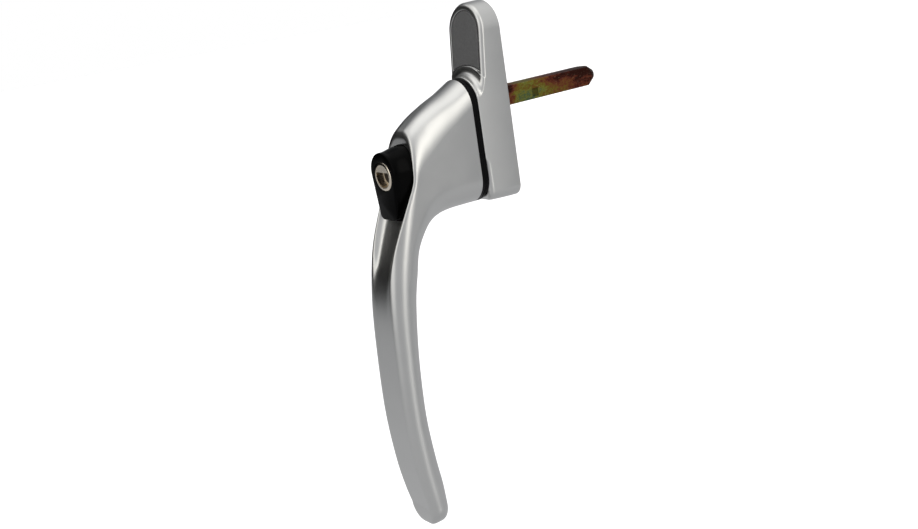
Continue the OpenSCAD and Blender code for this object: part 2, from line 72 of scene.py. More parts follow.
# A Mix node uses the same names for several sockets, so those for colours go by number
MIX_SHARE, MIX_FIRST, MIX_SECOND, MIX_COLOUR = 0, 6, 7, 2

Points = np.ndarray
Ring = np.ndarray
Surface = tuple[Points, list[list[int]]]
Field = Callable[[Points, Points, Points], Points]
Rgba = tuple[float, float, float, float]
Piece = bpy.types.Object
Tree = bpy.types.NodeTree
Node = bpy.types.Node
Socket = bpy.types.NodeSocket
Sockets = bpy.types.bpy_prop_collection
Growth = Callable[[Tree, Sockets], Node]


class Operation(Enum):
    """What a boolean does with its tool."""

    CUT = "DIFFERENCE"
    JOIN = "UNION"
    KEEP = "INTERSECT"


class Body(Enum):
    """The moving bodies of the handle."""

    BASE = "base"
    COVER = "cover"
    HANDLE = "handle"
    BUTTON = "button"
    KEY_PLUG = "key_plug"


def linear(code: str) -> Rgba:
    """Turns an sRGB hex colour into linear light.

    Args:
        code: six hex digits with a leading hash.

    Returns:
        Linear red, green, blue and an alpha of one.
    """
    parts = [int(code[i:i + 2], 16) / 255 for i in (1, 3, 5)]
    return (*[c / 12.92 if c <= 0.04045 else ((c + 0.055) / 1.055) ** 2.4 for c in parts], 1.0)


def add_node(tree: Tree, kind: str, inputs: dict[str | int, Any] | None = None,
             stops: Sequence[tuple[float, Rgba]] = (), **settings: Any) -> Node:
    """Adds a node with its settings and links.

    Args:
        tree: the tree that the node joins.
        kind: the node's type.
        inputs: for each input, by name or number, a value, a socket, or a node, which is linked from
            its first output.
        stops: positions and colours, for a colour ramp.
        **settings: the node's own properties.

    Returns:
        The new node.
    """
    node = tree.nodes.new(kind)
    for name, value in settings.items():
        setattr(node, name, value)
    for name, value in (inputs or {}).items():
        source = value.outputs[0] if isinstance(value, Node) else value
        if isinstance(source, Socket):
            tree.links.new(source, node.inputs[name])
        else:
            node.inputs[name].default_value = value
    for index, (position, colour) in enumerate(stops):
        elements = node.color_ramp.elements
        stop = elements[index] if index < len(elements) else elements.new(position)
        stop.position, stop.color = position, colour
    return node


def empty_tree(owner: bpy.types.Material | bpy.types.World) -> Tree:
    """Empties the node tree of a material or a world.

    Args:
        owner: the material or the world.

    Returns:
        The tree.
    """
    owner.use_nodes = True
    owner.node_tree.nodes.clear()
    return owner.node_tree


def grey(value: float) -> Rgba:
    """Gives a linear grey as a colour."""
    return (value, value, value, 1.0)


def per_metre(size_mm: float) -> float:
    """Gives a texture's scale for a feature of a real size in millimetres."""
    return 1.0 / (size_mm * MM)


@dataclass(frozen=True)
class Finish:
    """A surface finish: the shader's plain values and the pattern on them.

    Attributes:
        name: the material's name.
        colour: base colour as sRGB hex.
        metallic: one for bare or metal-coated surfaces.
        roughness: middle value of the roughness.
        roughness_swing: how far cloudy patches move the roughness either way.
        cloud_mm: width of the cloudy patches.
        colour_swing: share by which the patches lighten and darken the colour.
        grain_mm: width of the fine grain in the bump.
        grain_height_mm: height of the grain.
        coat: weight of a clear lacquer over the surface.
        coat_roughness: roughness of that lacquer.
        edge: colour that the reflection takes at a glancing angle.
        ior: index of refraction, for what isn't metal.
        specular: strength of the surface's own reflection, one half being plain.
    """

    name: str
    colour: str
    metallic: float = 0.0
    roughness: float = 0.4
    roughness_swing: float = 0.04
    cloud_mm: float = 9.0
    colour_swing: float = 0.03
    grain_mm: float = 0.4
    grain_height_mm: float = 0.002
    coat: float = 0.0
    coat_roughness: float = 0.18
    edge: str = "#FFFFFF"
    ior: float = 1.5
    specular: float = 0.5

    def build(self) -> bpy.types.Material:
        """Makes the material, or returns it where it has been made.

        Returns:
            The material.
        """
        material = bpy.data.materials.get(self.name)
        if material is not None:
            return material
        material = bpy.data.materials.new(self.name)
        tree = empty_tree(material)
        place = add_node(tree, "ShaderNodeTexCoord").outputs["Object"]
        values = {
            "Base Color": self.colouring(tree, place), "Metallic": self.metallic,
            "Roughness": self.roughening(tree, place), "Normal": self.relief(tree, place),
            "Coat Weight": self.coat, "Coat Roughness": self.coat_roughness,
            "Specular Tint": linear(self.edge)}
        if self.metallic < 0.5:
            values |= {"IOR": self.ior, "Specular IOR Level": self.specular}
        add_node(tree, "ShaderNodeOutputMaterial", {
            "Surface": add_node(tree, "ShaderNodeBsdfPrincipled", values)})
        return material

    def clouds(self, tree: Tree, place: Socket) -> Node:
        """Makes soft patches over the surface, from zero to one."""
        return add_node(tree, "ShaderNodeTexNoise", {
            "Vector": place, "Scale": per_metre(self.cloud_mm), "Detail": 5.0, "Roughness": 0.6})

    def colouring(self, tree: Tree, place: Socket) -> Socket:
        """Gives the colour, lighter and darker in patches.

        Args:
            tree: the material's tree.
            place: the point on the piece.

        Returns:
            The colour.
        """
        base = np.array(linear(self.colour)[:3])
        low = (*(base * (1 - self.colour_swing)), 1.0)
        high = (*np.minimum(base * (1 + self.colour_swing), 1.0), 1.0)
        return add_node(tree, "ShaderNodeValToRGB", {"Fac": self.clouds(tree, place)},
                        stops=((0.35, low), (0.65, high))).outputs["Color"]

    def roughening(self, tree: Tree, place: Socket) -> Node:
        """Gives the roughness, which wanders a little over the surface."""
        return add_node(tree, "ShaderNodeMapRange", {
            "Value": self.clouds(tree, place), "From Min": 0.3, "From Max": 0.7,
            "To Min": self.roughness - self.roughness_swing,
            "To Max": self.roughness + self.roughness_swing})

    def relief(self, tree: Tree, place: Socket) -> Node:
        """Gives the normal with the fine grain on it."""
        grain = add_node(tree, "ShaderNodeTexNoise", {
            "Vector": place, "Scale": per_metre(self.grain_mm), "Detail": 3.0, "Roughness": 0.65})
        return add_node(tree, "ShaderNodeBump", {
            "Height": grain, "Strength": 1.0, "Distance": self.grain_height_mm * MM})


@dataclass(frozen=True)
class SpeckedFinish(Finish):
    """A finish with a few specks of dust, drawn coarser than real dust so that they show.

    Attributes:
        speck: colour of the specks.
        speck_mm: distance between the places where a speck can lie.
        speck_share: share of those places that have one.
        speck_size: radius of a speck against that distance.
    """

    speck: str = "#8A8A88"
    speck_mm: float = 2.6
    speck_share: float = 0.14
    speck_size: float = 0.055

    def colouring(self, tree: Tree, place: Socket) -> Socket:
        """Gives the plain colour with specks laid over it.

        Args:
            tree: the material's tree.
            place: the point on the piece.

        Returns:
            The colour.
        """
        cells = add_node(tree, "ShaderNodeTexVoronoi", {
            "Vector": place, "Scale": per_metre(self.speck_mm), "Randomness": 1.0})
        lot = add_node(tree, "ShaderNodeSeparateColor", {"Color": cells.outputs["Color"]})
        near, chosen = (add_node(tree, "ShaderNodeMath", {0: value, 1: limit}, operation="LESS_THAN")
                        for value, limit in ((cells, self.speck_size), (lot, self.speck_share)))
        return add_node(tree, "ShaderNodeMix", {
            MIX_SHARE: add_node(tree, "ShaderNodeMath", {0: near, 1: chosen}, operation="MULTIPLY"),
            MIX_FIRST: super().colouring(tree, place), MIX_SECOND: linear(self.speck)},
            data_type="RGBA").outputs[MIX_COLOUR]


@dataclass(frozen=True)
class TurnedFinish(Finish):
    """Plated metal whose face was turned, with rings about the lock's axis.

    Attributes:
        ring_mm: distance from ring to ring, coarser than a real tool leaves them, so that they show.
        ring_height_mm: height of the rings.
    """

    ring_mm: float = 3.14
    ring_height_mm: float = 0.004

    def relief(self, tree: Tree, place: Socket) -> Node:
        """Gives the normal with grain and turned rings.

        Args:
            tree: the material's tree.
            place: the point on the piece.

        Returns:
            The bump node.
        """
        middle = add_node(tree, "ShaderNodeMapping", {
            "Vector": place, "Location": (0.0, 0.0, -LOCK_Z * MM)})
        rings = add_node(tree, "ShaderNodeTexWave", {
            "Vector": middle, "Scale": per_metre(self.ring_mm) * WAVE_STEP, "Distortion": 0.6,
            "Detail": 2.0, "Detail Scale": 1.5}, wave_type="RINGS", rings_direction="Y")
        return add_node(tree, "ShaderNodeBump", {
            "Height": rings.outputs["Fac"], "Strength": 1.0, "Distance": self.ring_height_mm * MM,
            "Normal": super().relief(tree, place)})


@dataclass(frozen=True)
class ChromateFinish(Finish):
    """Yellow passivated zinc on steel: the thin film's colours run from red-brown over olive to teal.

    Attributes:
        film: colours of the film, from where it is thick to where it is thin.
        bands: how thin the film is at shares of the way to the bar's end.
        length_mm: length of the bar behind the plate.
        upper_mm: heights between which the film gets thicker towards the bar's upper side.
        film_mm: width of the colour patches.
        mottle_mm: width of the fine mottling on them.
        scratch_mm: width of the pale scratches and nicks.
        pit_mm: width of the dark pits.
        mark: place across of the stake mark's floor, which is painted dark as shade in the dent, and its
            middle height.
        mark_half: half of the size of that floor across and in height.
    """

    film: tuple[str, ...] = (
        "#2C110C", "#5A2A20", "#6E4226", "#6A5A20", "#747430", "#4E5E3A", "#46604E")
    bands: tuple[tuple[float, float], ...] = (
        (0.0, 0.30), (0.12, 0.34), (0.2, 0.74), (0.3, 0.80), (0.4, 0.66), (0.52, 0.48), (0.66, 0.38),
        (0.8, 0.24), (1.0, 0.12))
    length_mm: float = 48.0
    upper_mm: tuple[float, float] = (-0.2, 1.8)
    film_mm: float = 5.0
    mottle_mm: float = 0.9
    scratch_mm: float = 0.45
    pit_mm: float = 0.765
    mark: tuple[float, float] = (3.22, -1.1)
    mark_half: tuple[float, float] = (0.2, 1.7)

    def colouring(self, tree: Tree, place: Socket) -> Socket:
        """Gives the film's colours, patches of them along the bar, with pale nicks, dark pits and painted
        shade on the stake mark's floor.

        Args:
            tree: the material's tree.
            place: the point on the piece.

        Returns:
            The colour.
        """
        axes = add_node(tree, "ShaderNodeSeparateXYZ", {"Vector": place}).outputs
        # Each pattern is stretched along the bar, as the drawing of the steel left it
        patches, mottle, scratches, pits = (add_node(tree, "ShaderNodeTexNoise", {
            "Vector": add_node(tree, "ShaderNodeMapping", {"Vector": place, "Scale": (wide, along, wide)}),
            "Scale": per_metre(size_mm), "Detail": detail, "Roughness": 0.72, "Distortion": bend})
            for wide, along, size_mm, detail, bend in (
                (1.3, 0.5, self.film_mm, 4.0, 0.5), (1.0, 0.8, self.mottle_mm, 8.0, 0.0),
                (1.0, 0.45, self.scratch_mm, 5.0, 0.0), (1.0, 0.6, self.pit_mm, 6.0, 0.0)))
        # The film is thick at both ends of the bar and thin in a band near the plate
        reach = add_node(tree, "ShaderNodeMapRange", {
            "Value": axes["Y"], "From Min": 0.0, "From Max": self.length_mm * MM})
        thin = add_node(tree, "ShaderNodeValToRGB", {"Fac": reach}, stops=[
            (at, grey(value)) for at, value in self.bands])
        # It is thicker on the bar's upper half too, and one is taken off for what patches and mottling
        # add on average, so that they thin it in some places and thicken it in others
        upper = add_node(tree, "ShaderNodeMapRange", {
            "Value": axes["Z"], "From Min": self.upper_mm[0] * MM, "From Max": self.upper_mm[1] * MM,
            "To Min": 1.0, "To Max": 1.24})
        for value, weight in ((patches, 1.1), (mottle, 0.9), (upper, -1.0)):
            thin = add_node(tree, "ShaderNodeMath", {0: value, 1: weight, 2: thin}, operation="MULTIPLY_ADD")
        places = np.linspace(0.1, 0.9, len(self.film))
        colour = add_node(tree, "ShaderNodeValToRGB", {"Fac": thin}, stops=[
            (at, linear(code)) for at, code in zip(places, self.film)]).outputs["Color"]
        # The floor of the stake mark is painted dark, a painted shade for the dent
        painted_shade_on_mark: Node | float = 0.6
        for axis, middle, half in zip("XZ", self.mark, self.mark_half):
            near = add_node(tree, "ShaderNodeMath", {0: axes[axis], 1: middle * MM, 2: half * MM},
                            operation="COMPARE")
            painted_shade_on_mark = add_node(tree, "ShaderNodeMath", {0: near, 1: painted_shade_on_mark}, operation="MULTIPLY")
        nicked, pitted = (add_node(tree, "ShaderNodeMapRange", {
            "Value": pattern, "From Min": low, "From Max": high, "To Max": most})
            for pattern, low, high, most in ((scratches, 0.60, 0.74, 0.62), (pits, 0.58, 0.70, 0.55)))
        # Pale nicks and dark pits are the bar's own marks; the last colour is the painted shade on the stake
        # mark's floor
        for share, code in ((nicked, "#B3A78A"), (pitted, "#1E140E"), (painted_shade_on_mark, "#1A1C0C")):
            colour = add_node(tree, "ShaderNodeMix", {
                MIX_SHARE: share, MIX_FIRST: colour, MIX_SECOND: linear(code)},
                data_type="RGBA").outputs[MIX_COLOUR]
        return colour


# Zinc die casting under a satin silver lacquer: even, a broad soft sheen with no brush marks
SATIN_CASTING = SpeckedFinish(
    "satin_silver_zinc_casting", "#C6C6C4", metallic=1.0, roughness=0.31, roughness_swing=0.012,
    cloud_mm=9.0, colour_swing=0.012, grain_mm=0.45, grain_height_mm=0.0005, coat=0.06,
    speck="#7A7A78", speck_mm=13.0, speck_share=0.10, speck_size=0.018)
# Moulded dark grey nylon cap: dull, faintly mottled where the glass filling shows
GREY_NYLON = Finish(
    "moulded_grey_nylon", "#5A5A5A", roughness=0.48, cloud_mm=0.7, colour_swing=0.12, grain_mm=0.3,
    grain_height_mm=0.004, ior=1.53)
# Moulded black acetal bearing plate: a dense, waxy gloss
BLACK_ACETAL = Finish(
    "moulded_black_acetal", "#050506", roughness=0.24, specular=0.08, cloud_mm=4.0, colour_swing=0.20,
    grain_mm=0.5, grain_height_mm=0.002, ior=1.48)
# Moulded black ABS button: satin, with a little dust caught on it
BLACK_ABS = SpeckedFinish(
    "moulded_black_abs", "#020202", roughness=0.24, specular=0.035, cloud_mm=3.0, colour_swing=0.25,
    grain_mm=0.3, grain_height_mm=0.002, ior=1.54, speck="#6F6B62", speck_mm=3.4, speck_share=0.10,
    speck_size=0.05)
# Nickel plate on a turned brass barrel: warm grey, with the tool's rings under the plate
NICKEL_BARREL = TurnedFinish(
    "nickel_plated_barrel", "#DAD0C0", metallic=1.0, roughness=0.24, cloud_mm=1.5, colour_swing=0.05,
    grain_mm=0.25, grain_height_mm=0.001, ring_height_mm=0.002)
# Nickel plate worn dull by the key, its colour darkened as painted shade for the bottom of the mouth
NICKEL_PLUG_PAINTED_SHADE = TurnedFinish(
    "worn_nickel_plug_painted_shade", "#332C25", metallic=1.0, roughness=0.30, cloud_mm=1.2, colour_swing=0.12,
    grain_mm=0.25, grain_height_mm=0.002)
# Yellow chromate over electroplated zinc on a drawn steel bar: oily colours and pale nicks
YELLOW_ZINC = ChromateFinish(
    "yellow_passivated_zinc", "#6E6230", edge="#94664C", metallic=0.6, roughness=0.42, roughness_swing=0.09,
    cloud_mm=2.4, grain_mm=0.5, grain_height_mm=0.02)
# Drawn spring wire: bright, with a trace of oil
SPRING_STEEL = Finish(
    "drawn_spring_steel", "#A9AAAD", metallic=1.0, roughness=0.28, cloud_mm=1.0, colour_swing=0.05,
    grain_mm=0.12, grain_height_mm=0.001)
# Phosphated spring steel clips: nearly black and dull
PHOSPHATED_STEEL = Finish(
    "phosphated_spring_steel", "#4A4A4C", metallic=0.8, roughness=0.48, cloud_mm=1.5, colour_swing=0.12,
    grain_mm=0.2, grain_height_mm=0.004)
# Ground steel balls and bolt: mirror bright with faint grinding
GROUND_STEEL = Finish(
    "ground_steel", "#B9BBBE", metallic=1.0, roughness=0.16, cloud_mm=1.0, colour_swing=0.03,
    grain_mm=0.15, grain_height_mm=0.0008)
# Stamped brass wafers: yellow, with burnished edges
STAMPED_BRASS = Finish(
    "stamped_brass", "#B48F4A", metallic=1.0, roughness=0.30, cloud_mm=1.2, colour_swing=0.06,
    grain_mm=0.2, grain_height_mm=0.002)
# Moulded natural acetal washer: milky white and waxy
WHITE_ACETAL = Finish(
    "moulded_natural_acetal", "#D9D8D2", roughness=0.38, cloud_mm=3.0, colour_swing=0.03, grain_mm=0.4,
    grain_height_mm=0.003, ior=1.48)


def link_object(name: str, data: bpy.types.ID) -> bpy.types.Object:
    """Makes an object of some data and puts it in the scene.

    Args:
        name: the object's name.
        data: its mesh, camera or light.

    Returns:
        The linked object.
    """
    thing = bpy.data.objects.new(name, data)
    bpy.context.scene.collection.objects.link(thing)
    return thing


def make_piece(name: str, points: Points, faces: Sequence[Sequence[int]]) -> Piece:
    """Makes an object at the origin from points in millimetres.

    Args:
        name: the piece's name.
        points: one row of x, depth and z for each point.
        faces: corner numbers, anticlockwise seen from outside.

    Returns:
        The linked object.
    """
    mesh = bpy.data.meshes.new(name)
    mesh.from_pydata((points * [MM, -MM, MM]).tolist(), [], [list(f) for f in faces])
    mesh.validate()
    return link_object(name, mesh)


def settle(piece: Piece) -> None:
    """Turns a piece with its modifiers into a plain mesh.

    Args:
        piece: the piece.
    """
    graph = bpy.context.evaluated_depsgraph_get()
    mesh = bpy.data.meshes.new_from_object(piece.evaluated_get(graph))
    piece.modifiers.clear()
    piece.data = mesh


def grow_piece(name: str, finish: Finish, shape: Growth, sizes: dict[str, float]) -> Piece:
    """Makes an object at the origin with a Geometry Nodes tree and keeps it as a plain mesh.

    Args:
        name: the piece's name.
        finish: its finish.
        shape: adds the nodes that make the form from the tree's inputs.
        sizes: the tree's named inputs in millimetres.

    Returns:
        The linked object.
    """
    tree = bpy.data.node_groups.new(name, "GeometryNodeTree")
    sockets = {key: tree.interface.new_socket(key, in_out="INPUT", socket_type="NodeSocketFloat")
               for key in sizes}
    tree.interface.new_socket("Geometry", in_out="OUTPUT", socket_type="NodeSocketGeometry")
    form = shape(tree, add_node(tree, "NodeGroupInput").outputs)
    solid = add_node(tree, "GeometryNodeRealizeInstances", {"Geometry": form})
    dressed = add_node(tree, "GeometryNodeSetMaterial", {"Geometry": solid, "Material": finish.build()})
    add_node(tree, "NodeGroupOutput", {"Geometry": dressed})
    piece = link_object(name, bpy.data.meshes.new(name))
    grow = piece.modifiers.new("grow", "NODES")
    grow.node_group = tree
    for key, value in sizes.items():
        grow[sockets[key].identifier] = value * MM
    settle(piece)
    return piece


def skin(rings: Sequence[Ring], loop: bool = False) -> Surface:
    """Joins rings of as many points each into a closed surface.

    Each ring runs anticlockwise seen from the last ring's side, so that the faces point outwards.

    Args:
        rings: the rings in order.
        loop: whether the last ring joins the first, where otherwise both are closed with a face.

    Returns:
        The points and the faces.
    """
    count, size = len(rings), len(rings[0])
    faces = [[i * size + j, i * size + (j + 1) % size,
              (i + 1) % count * size + (j + 1) % size, (i + 1) % count * size + j]
             for i in range(count if loop else count - 1) for j in range(size)]
    if not loop:
        faces += [list(range(size))[::-1], [(count - 1) * size + j for j in range(size)]]
    return np.vstack(rings), faces


def arc(x: float, z: float, radius: float, start: float, stop: float, steps: int) -> Points:
    """Gives points on an arc, in x and z, with angles in degrees and both ends included."""
    angle = np.radians(np.linspace(start, stop, steps + 1))
    return np.column_stack([x + radius * np.cos(angle), z + radius * np.sin(angle)])


def circle(x: float, z: float, radius: float, steps: int) -> Points:
    """Gives points on a circle, in x and z."""
    return arc(x, z, radius, 0, 360, steps)[:-1]


def rectangle(half_x: float, half_z: float, z: float = 0.0) -> Points:
    """Gives the corners of a rectangle in x and z, anticlockwise seen from the room."""
    return np.array([[1, -1], [1, 1], [-1, 1], [-1, -1]]) * [half_x, half_z] + [0, z]


def at_depth(flat: Points, depth: float) -> Ring:
    """Puts an outline of x and z at a depth."""
    return np.column_stack([flat[:, 0], np.full(len(flat), depth), flat[:, 1]])


def turned(profile: Sequence[tuple[float, float]], x: float = 0.0, z: float = 0.0,
           steps: int = 96) -> Surface:
    """Turns a profile about an axis along the depth.

    Args:
        profile: radius and depth of each point, from the back outwards.
        x: the axis's place across.
        z: the axis's height.
        steps: points round the axis.

    Returns:
        The points and the faces of a closed solid.
    """
    return skin([at_depth(circle(x, z, radius, steps), depth) for radius, depth in profile])


def prism(outline: Points, back: float, front: float) -> Surface:
    """Extrudes an outline of x and z, anticlockwise seen from the room, from one depth to another."""
    return skin([at_depth(outline, depth) for depth in (back, front)])


def carve(piece: Piece, tool: Surface, operation: Operation = Operation.CUT) -> None:
    """Cuts a tool out of a piece, or joins it on.

    Args:
        piece: the piece that is changed.
        tool: points and faces of a closed solid.
        operation: what to do with the tool.
    """
    solid = make_piece("tool", *tool)
    change = piece.modifiers.new("carve", "BOOLEAN")
    change.operation, change.solver, change.object = operation.value, "MANIFOLD", solid
    settle(piece)
    bpy.data.objects.remove(solid)


def drill(piece: Piece, *profile: tuple[float, float], z: float = 0.0, steps: int = 96) -> None:
    """Cuts a bore out of a piece, with radius and depth of each point of its profile."""
    carve(piece, turned(profile, z=z, steps=steps))


def finish_piece(piece: Piece, finish: Finish, body: Body, node: str,
                 sharp_degrees: float = 38.0) -> Piece:
    """Shades, dresses and hands over a finished piece.

    Args:
        piece: the piece.
        finish: its finish.
        body: the body that it rides on.
        node: the CAD node that it stands for.
        sharp_degrees: angle above which an edge stays sharp.

    Returns:
        The same piece.
    """
    mesh = piece.data
    mesh.materials.clear()
    mesh.materials.append(finish.build())
    mesh.polygons.foreach_set("material_index", [0] * len(mesh.polygons))
    mesh.polygons.foreach_set("use_smooth", [True] * len(mesh.polygons))
    mesh.set_sharp_from_angle(angle=math.radians(sharp_degrees))
    mesh.update()
    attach(piece, body.value)
    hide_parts(node)
    return piece


def shield_outline(top_r: float, corner_r: float, corner_x: float, length: float, top_z: float,
                   steps: int = 64) -> Points:
    """Gives the outline of a shield: a round top, straight sides drawing in, and two round corners.

    Args:
        top_r: radius of the upper end.
        corner_r: radius of each lower corner.
        corner_x: distance from the middle to each lower corner's centre.
        length: height from the corners' centres up to the upper centre.
        top_z: height of the upper centre.
        steps: points round the upper end.

    Returns:
        The outline, anticlockwise seen from the room.
    """
    lean = math.degrees(math.acos((top_r - corner_r) / math.hypot(corner_x, length))
                        - math.atan2(length, corner_x))
    low = top_z - length
    ends = [arc(0, top_z, top_r, lean, 180 - lean, steps),
            arc(-corner_x, low, corner_r, 180 - lean, 270, steps // 3),
            arc(corner_x, low, corner_r, 270, 360 + lean, steps // 3)]
    return joined(ends, (13, 9, 13))


def joined(arcs: Sequence[Points], fills: Sequence[int]) -> Points:
    """Joins arcs into a closed outline, with evenly spaced points on the straights between them.

    Args:
        arcs: the arcs in order.
        fills: steps on the straight after each arc.

    Returns:
        The outline.
    """
    parts = []
    for index, (part, fill) in enumerate(zip(arcs, fills)):
        after = arcs[(index + 1) % len(arcs)][0]
        share = np.linspace(0, 1, fill + 1)[1:-1, None]
        parts += [part, part[-1] + (after - part[-1]) * share]
    return np.vstack(parts)


def on_curve(marks: Points, place: float) -> Points:
    """Gives the row at a place between rows, on a smooth curve through them.

    Args:
        marks: the rows, with one more at either end to steer the curve there.
        place: number of the row before it, counted without the extra one, plus the share of the way on.

    Returns:
        The row.
    """
    i = min(int(place), len(marks) - 4)
    f = place - i
    a, b, c, d = marks[i:i + 4]
    return (2 * b + (c - a) * f + (2 * a - 5 * b + 4 * c - d) * f ** 2
            + (3 * b - a - 3 * c + d) * f ** 3) / 2


def eased(share: Points) -> Points:
    """Gives a soft step from zero to one, as a share runs from zero to one."""
    share = np.clip(share, 0, 1)
    return share * share * (3 - 2 * share)


def rounded_both(a: Points, b: Points, radius: Points | float) -> Points:
    """Gives the distance field of what two solids share, with the edge between them rounded."""
    corner = np.hypot(np.maximum(a + radius, 0), np.maximum(b + radius, 0))
    return np.minimum(np.maximum(a, b), -radius) + corner


def filled_either(a: Points, b: Points, radius: Points | float) -> Points:
    """Gives the distance field of two solids joined, with a hollow fillet between them."""
    corner = np.hypot(np.maximum(radius - a, 0), np.maximum(radius - b, 0))
    return np.maximum(np.minimum(a, b), radius) - corner


def cast_from_field(distance: Field, axes: tuple[Points, Points, Points]) -> Surface:
    """Makes the surface on which a distance field is zero, with its points set on the surface.

    Args:
        distance: the field of x, depth and z, negative inside.
        axes: the planes of the grid along x, depth and z, clear of the solid at their ends.

    Returns:
        The points and the four-sided faces.
    """
    grid = np.meshgrid(*axes, indexing="ij")
    value = distance(*grid)
    cells = tuple(len(a) - 1 for a in axes)
    total = np.zeros(cells + (3,))
    count = np.zeros(cells)
    edges = []
    for axis in range(3):
        planes = value.shape[axis]
        before, after = value.take(range(planes - 1), axis), value.take(range(1, planes), axis)
        at = np.argwhere((before < 0) != (after < 0))
        v0, v1 = before[tuple(at.T)], after[tuple(at.T)]
        point = np.column_stack([axes[k][at[:, k]] for k in range(3)])
        step = axes[axis][at[:, axis] + 1] - axes[axis][at[:, axis]]
        point[:, axis] += step * v0 / (v0 - v1)
        u, v = [(1, 2), (2, 0), (0, 1)][axis]
        around = []
        for du, dv in ((0, 0), (-1, 0), (-1, -1), (0, -1)):
            cell = at.copy()
            cell[:, u] += du
            cell[:, v] += dv
            np.add.at(total, tuple(cell.T), point)
            np.add.at(count, tuple(cell.T), 1)
            around.append(cell)
        edges.append((around, v0 < 0))
    used = np.argwhere(count > 0)
    number = -np.ones(cells, dtype=int)
    number[tuple(used.T)] = np.arange(len(used))
    points = total[tuple(used.T)] / count[tuple(used.T)][:, None]
    faces: list[list[int]] = []
    for around, outwards in edges:
        quad = np.column_stack([number[tuple(c.T)] for c in around])
        quad[outwards] = quad[outwards][:, ::-1]
        faces += quad.tolist()
    # A few short steps down the slope set the points on the surface
    for _ in range(4):
        slope = field_slope(distance, points)
        size = np.maximum((slope ** 2).sum(1), 0.2)
        points = points - 0.9 * slope * (distance(*points.T) / size)[:, None]
    return points, faces


def smooth_from_field(piece: Piece, distance: Field, near: float = 0.004) -> None:
    """Shades the faces that lie on a field's surface by the field's own slope.

    Args:
        piece: the piece, which may have been carved since it was cast.
        distance: the field that it was cast from.
        near: how far from the surface a point may lie to count as on it.
    """
    mesh = piece.data
    flip = np.array([1.0, -1.0, 1.0])
    points = read_rows(mesh.vertices, "co") / MM * flip
    slope = field_slope(distance, points)
    slope /= np.maximum(np.linalg.norm(slope, axis=1), 1e-6)[:, None]
    on = np.abs(distance(*points.T)) < near
    corner = read_rows(mesh.loops, "vertex_index", 1, np.int32)[:, 0]
    sizes = read_rows(mesh.polygons, "loop_total", 1, np.int32)[:, 0]
    owner = np.repeat(np.arange(len(sizes)), sizes)
    facing = read_rows(mesh.polygons, "normal") * flip
    # A face keeps its own shading where a corner is off the surface or looks another way
    fits = on[corner] & ((slope[corner] * facing[owner]).sum(1) > 0.8)
    whole = np.ones(len(sizes), dtype=bool)
    np.logical_and.at(whole, owner, fits)
    normals = np.where(whole[owner][:, None], slope[corner] * flip, 0.0)
    mesh.normals_split_custom_set(normals.tolist())


def read_rows(items: bpy.types.bpy_prop_collection, name: str, width: int = 3, kind: type = float) -> Points:
    """Reads one row of numbers for each item of a mesh.

    Args:
        items: the mesh's points, corners or faces.
        name: what is read.
        width: numbers in a row.
        kind: type of the numbers.

    Returns:
        The rows.
    """
    flat = np.empty(len(items) * width, dtype=kind)
    items.foreach_get(name, flat)
    return flat.reshape(-1, width)


def field_slope(distance: Field, points: Points, small: float = 0.02) -> Points:
    """Gives a field's slope at points, from its values a little to each side."""
    return np.column_stack([(distance(*(points + side).T) - distance(*(points - side).T)) / (2 * small)
                            for side in small * np.eye(3)])


def spaced(*stretches: tuple[float, float, float]) -> Points:
    """Gives grid planes with their own spacing on each stretch.

    Args:
        *stretches: start, stop and spacing, each starting where the one before stops.

    Returns:
        The planes in order.
    """
    parts = [np.linspace(a, b, max(2, round((b - a) / s) + 1))[:-1] for a, b, s in stretches]
    return np.concatenate(parts + [np.array([stretches[-1][1]])])


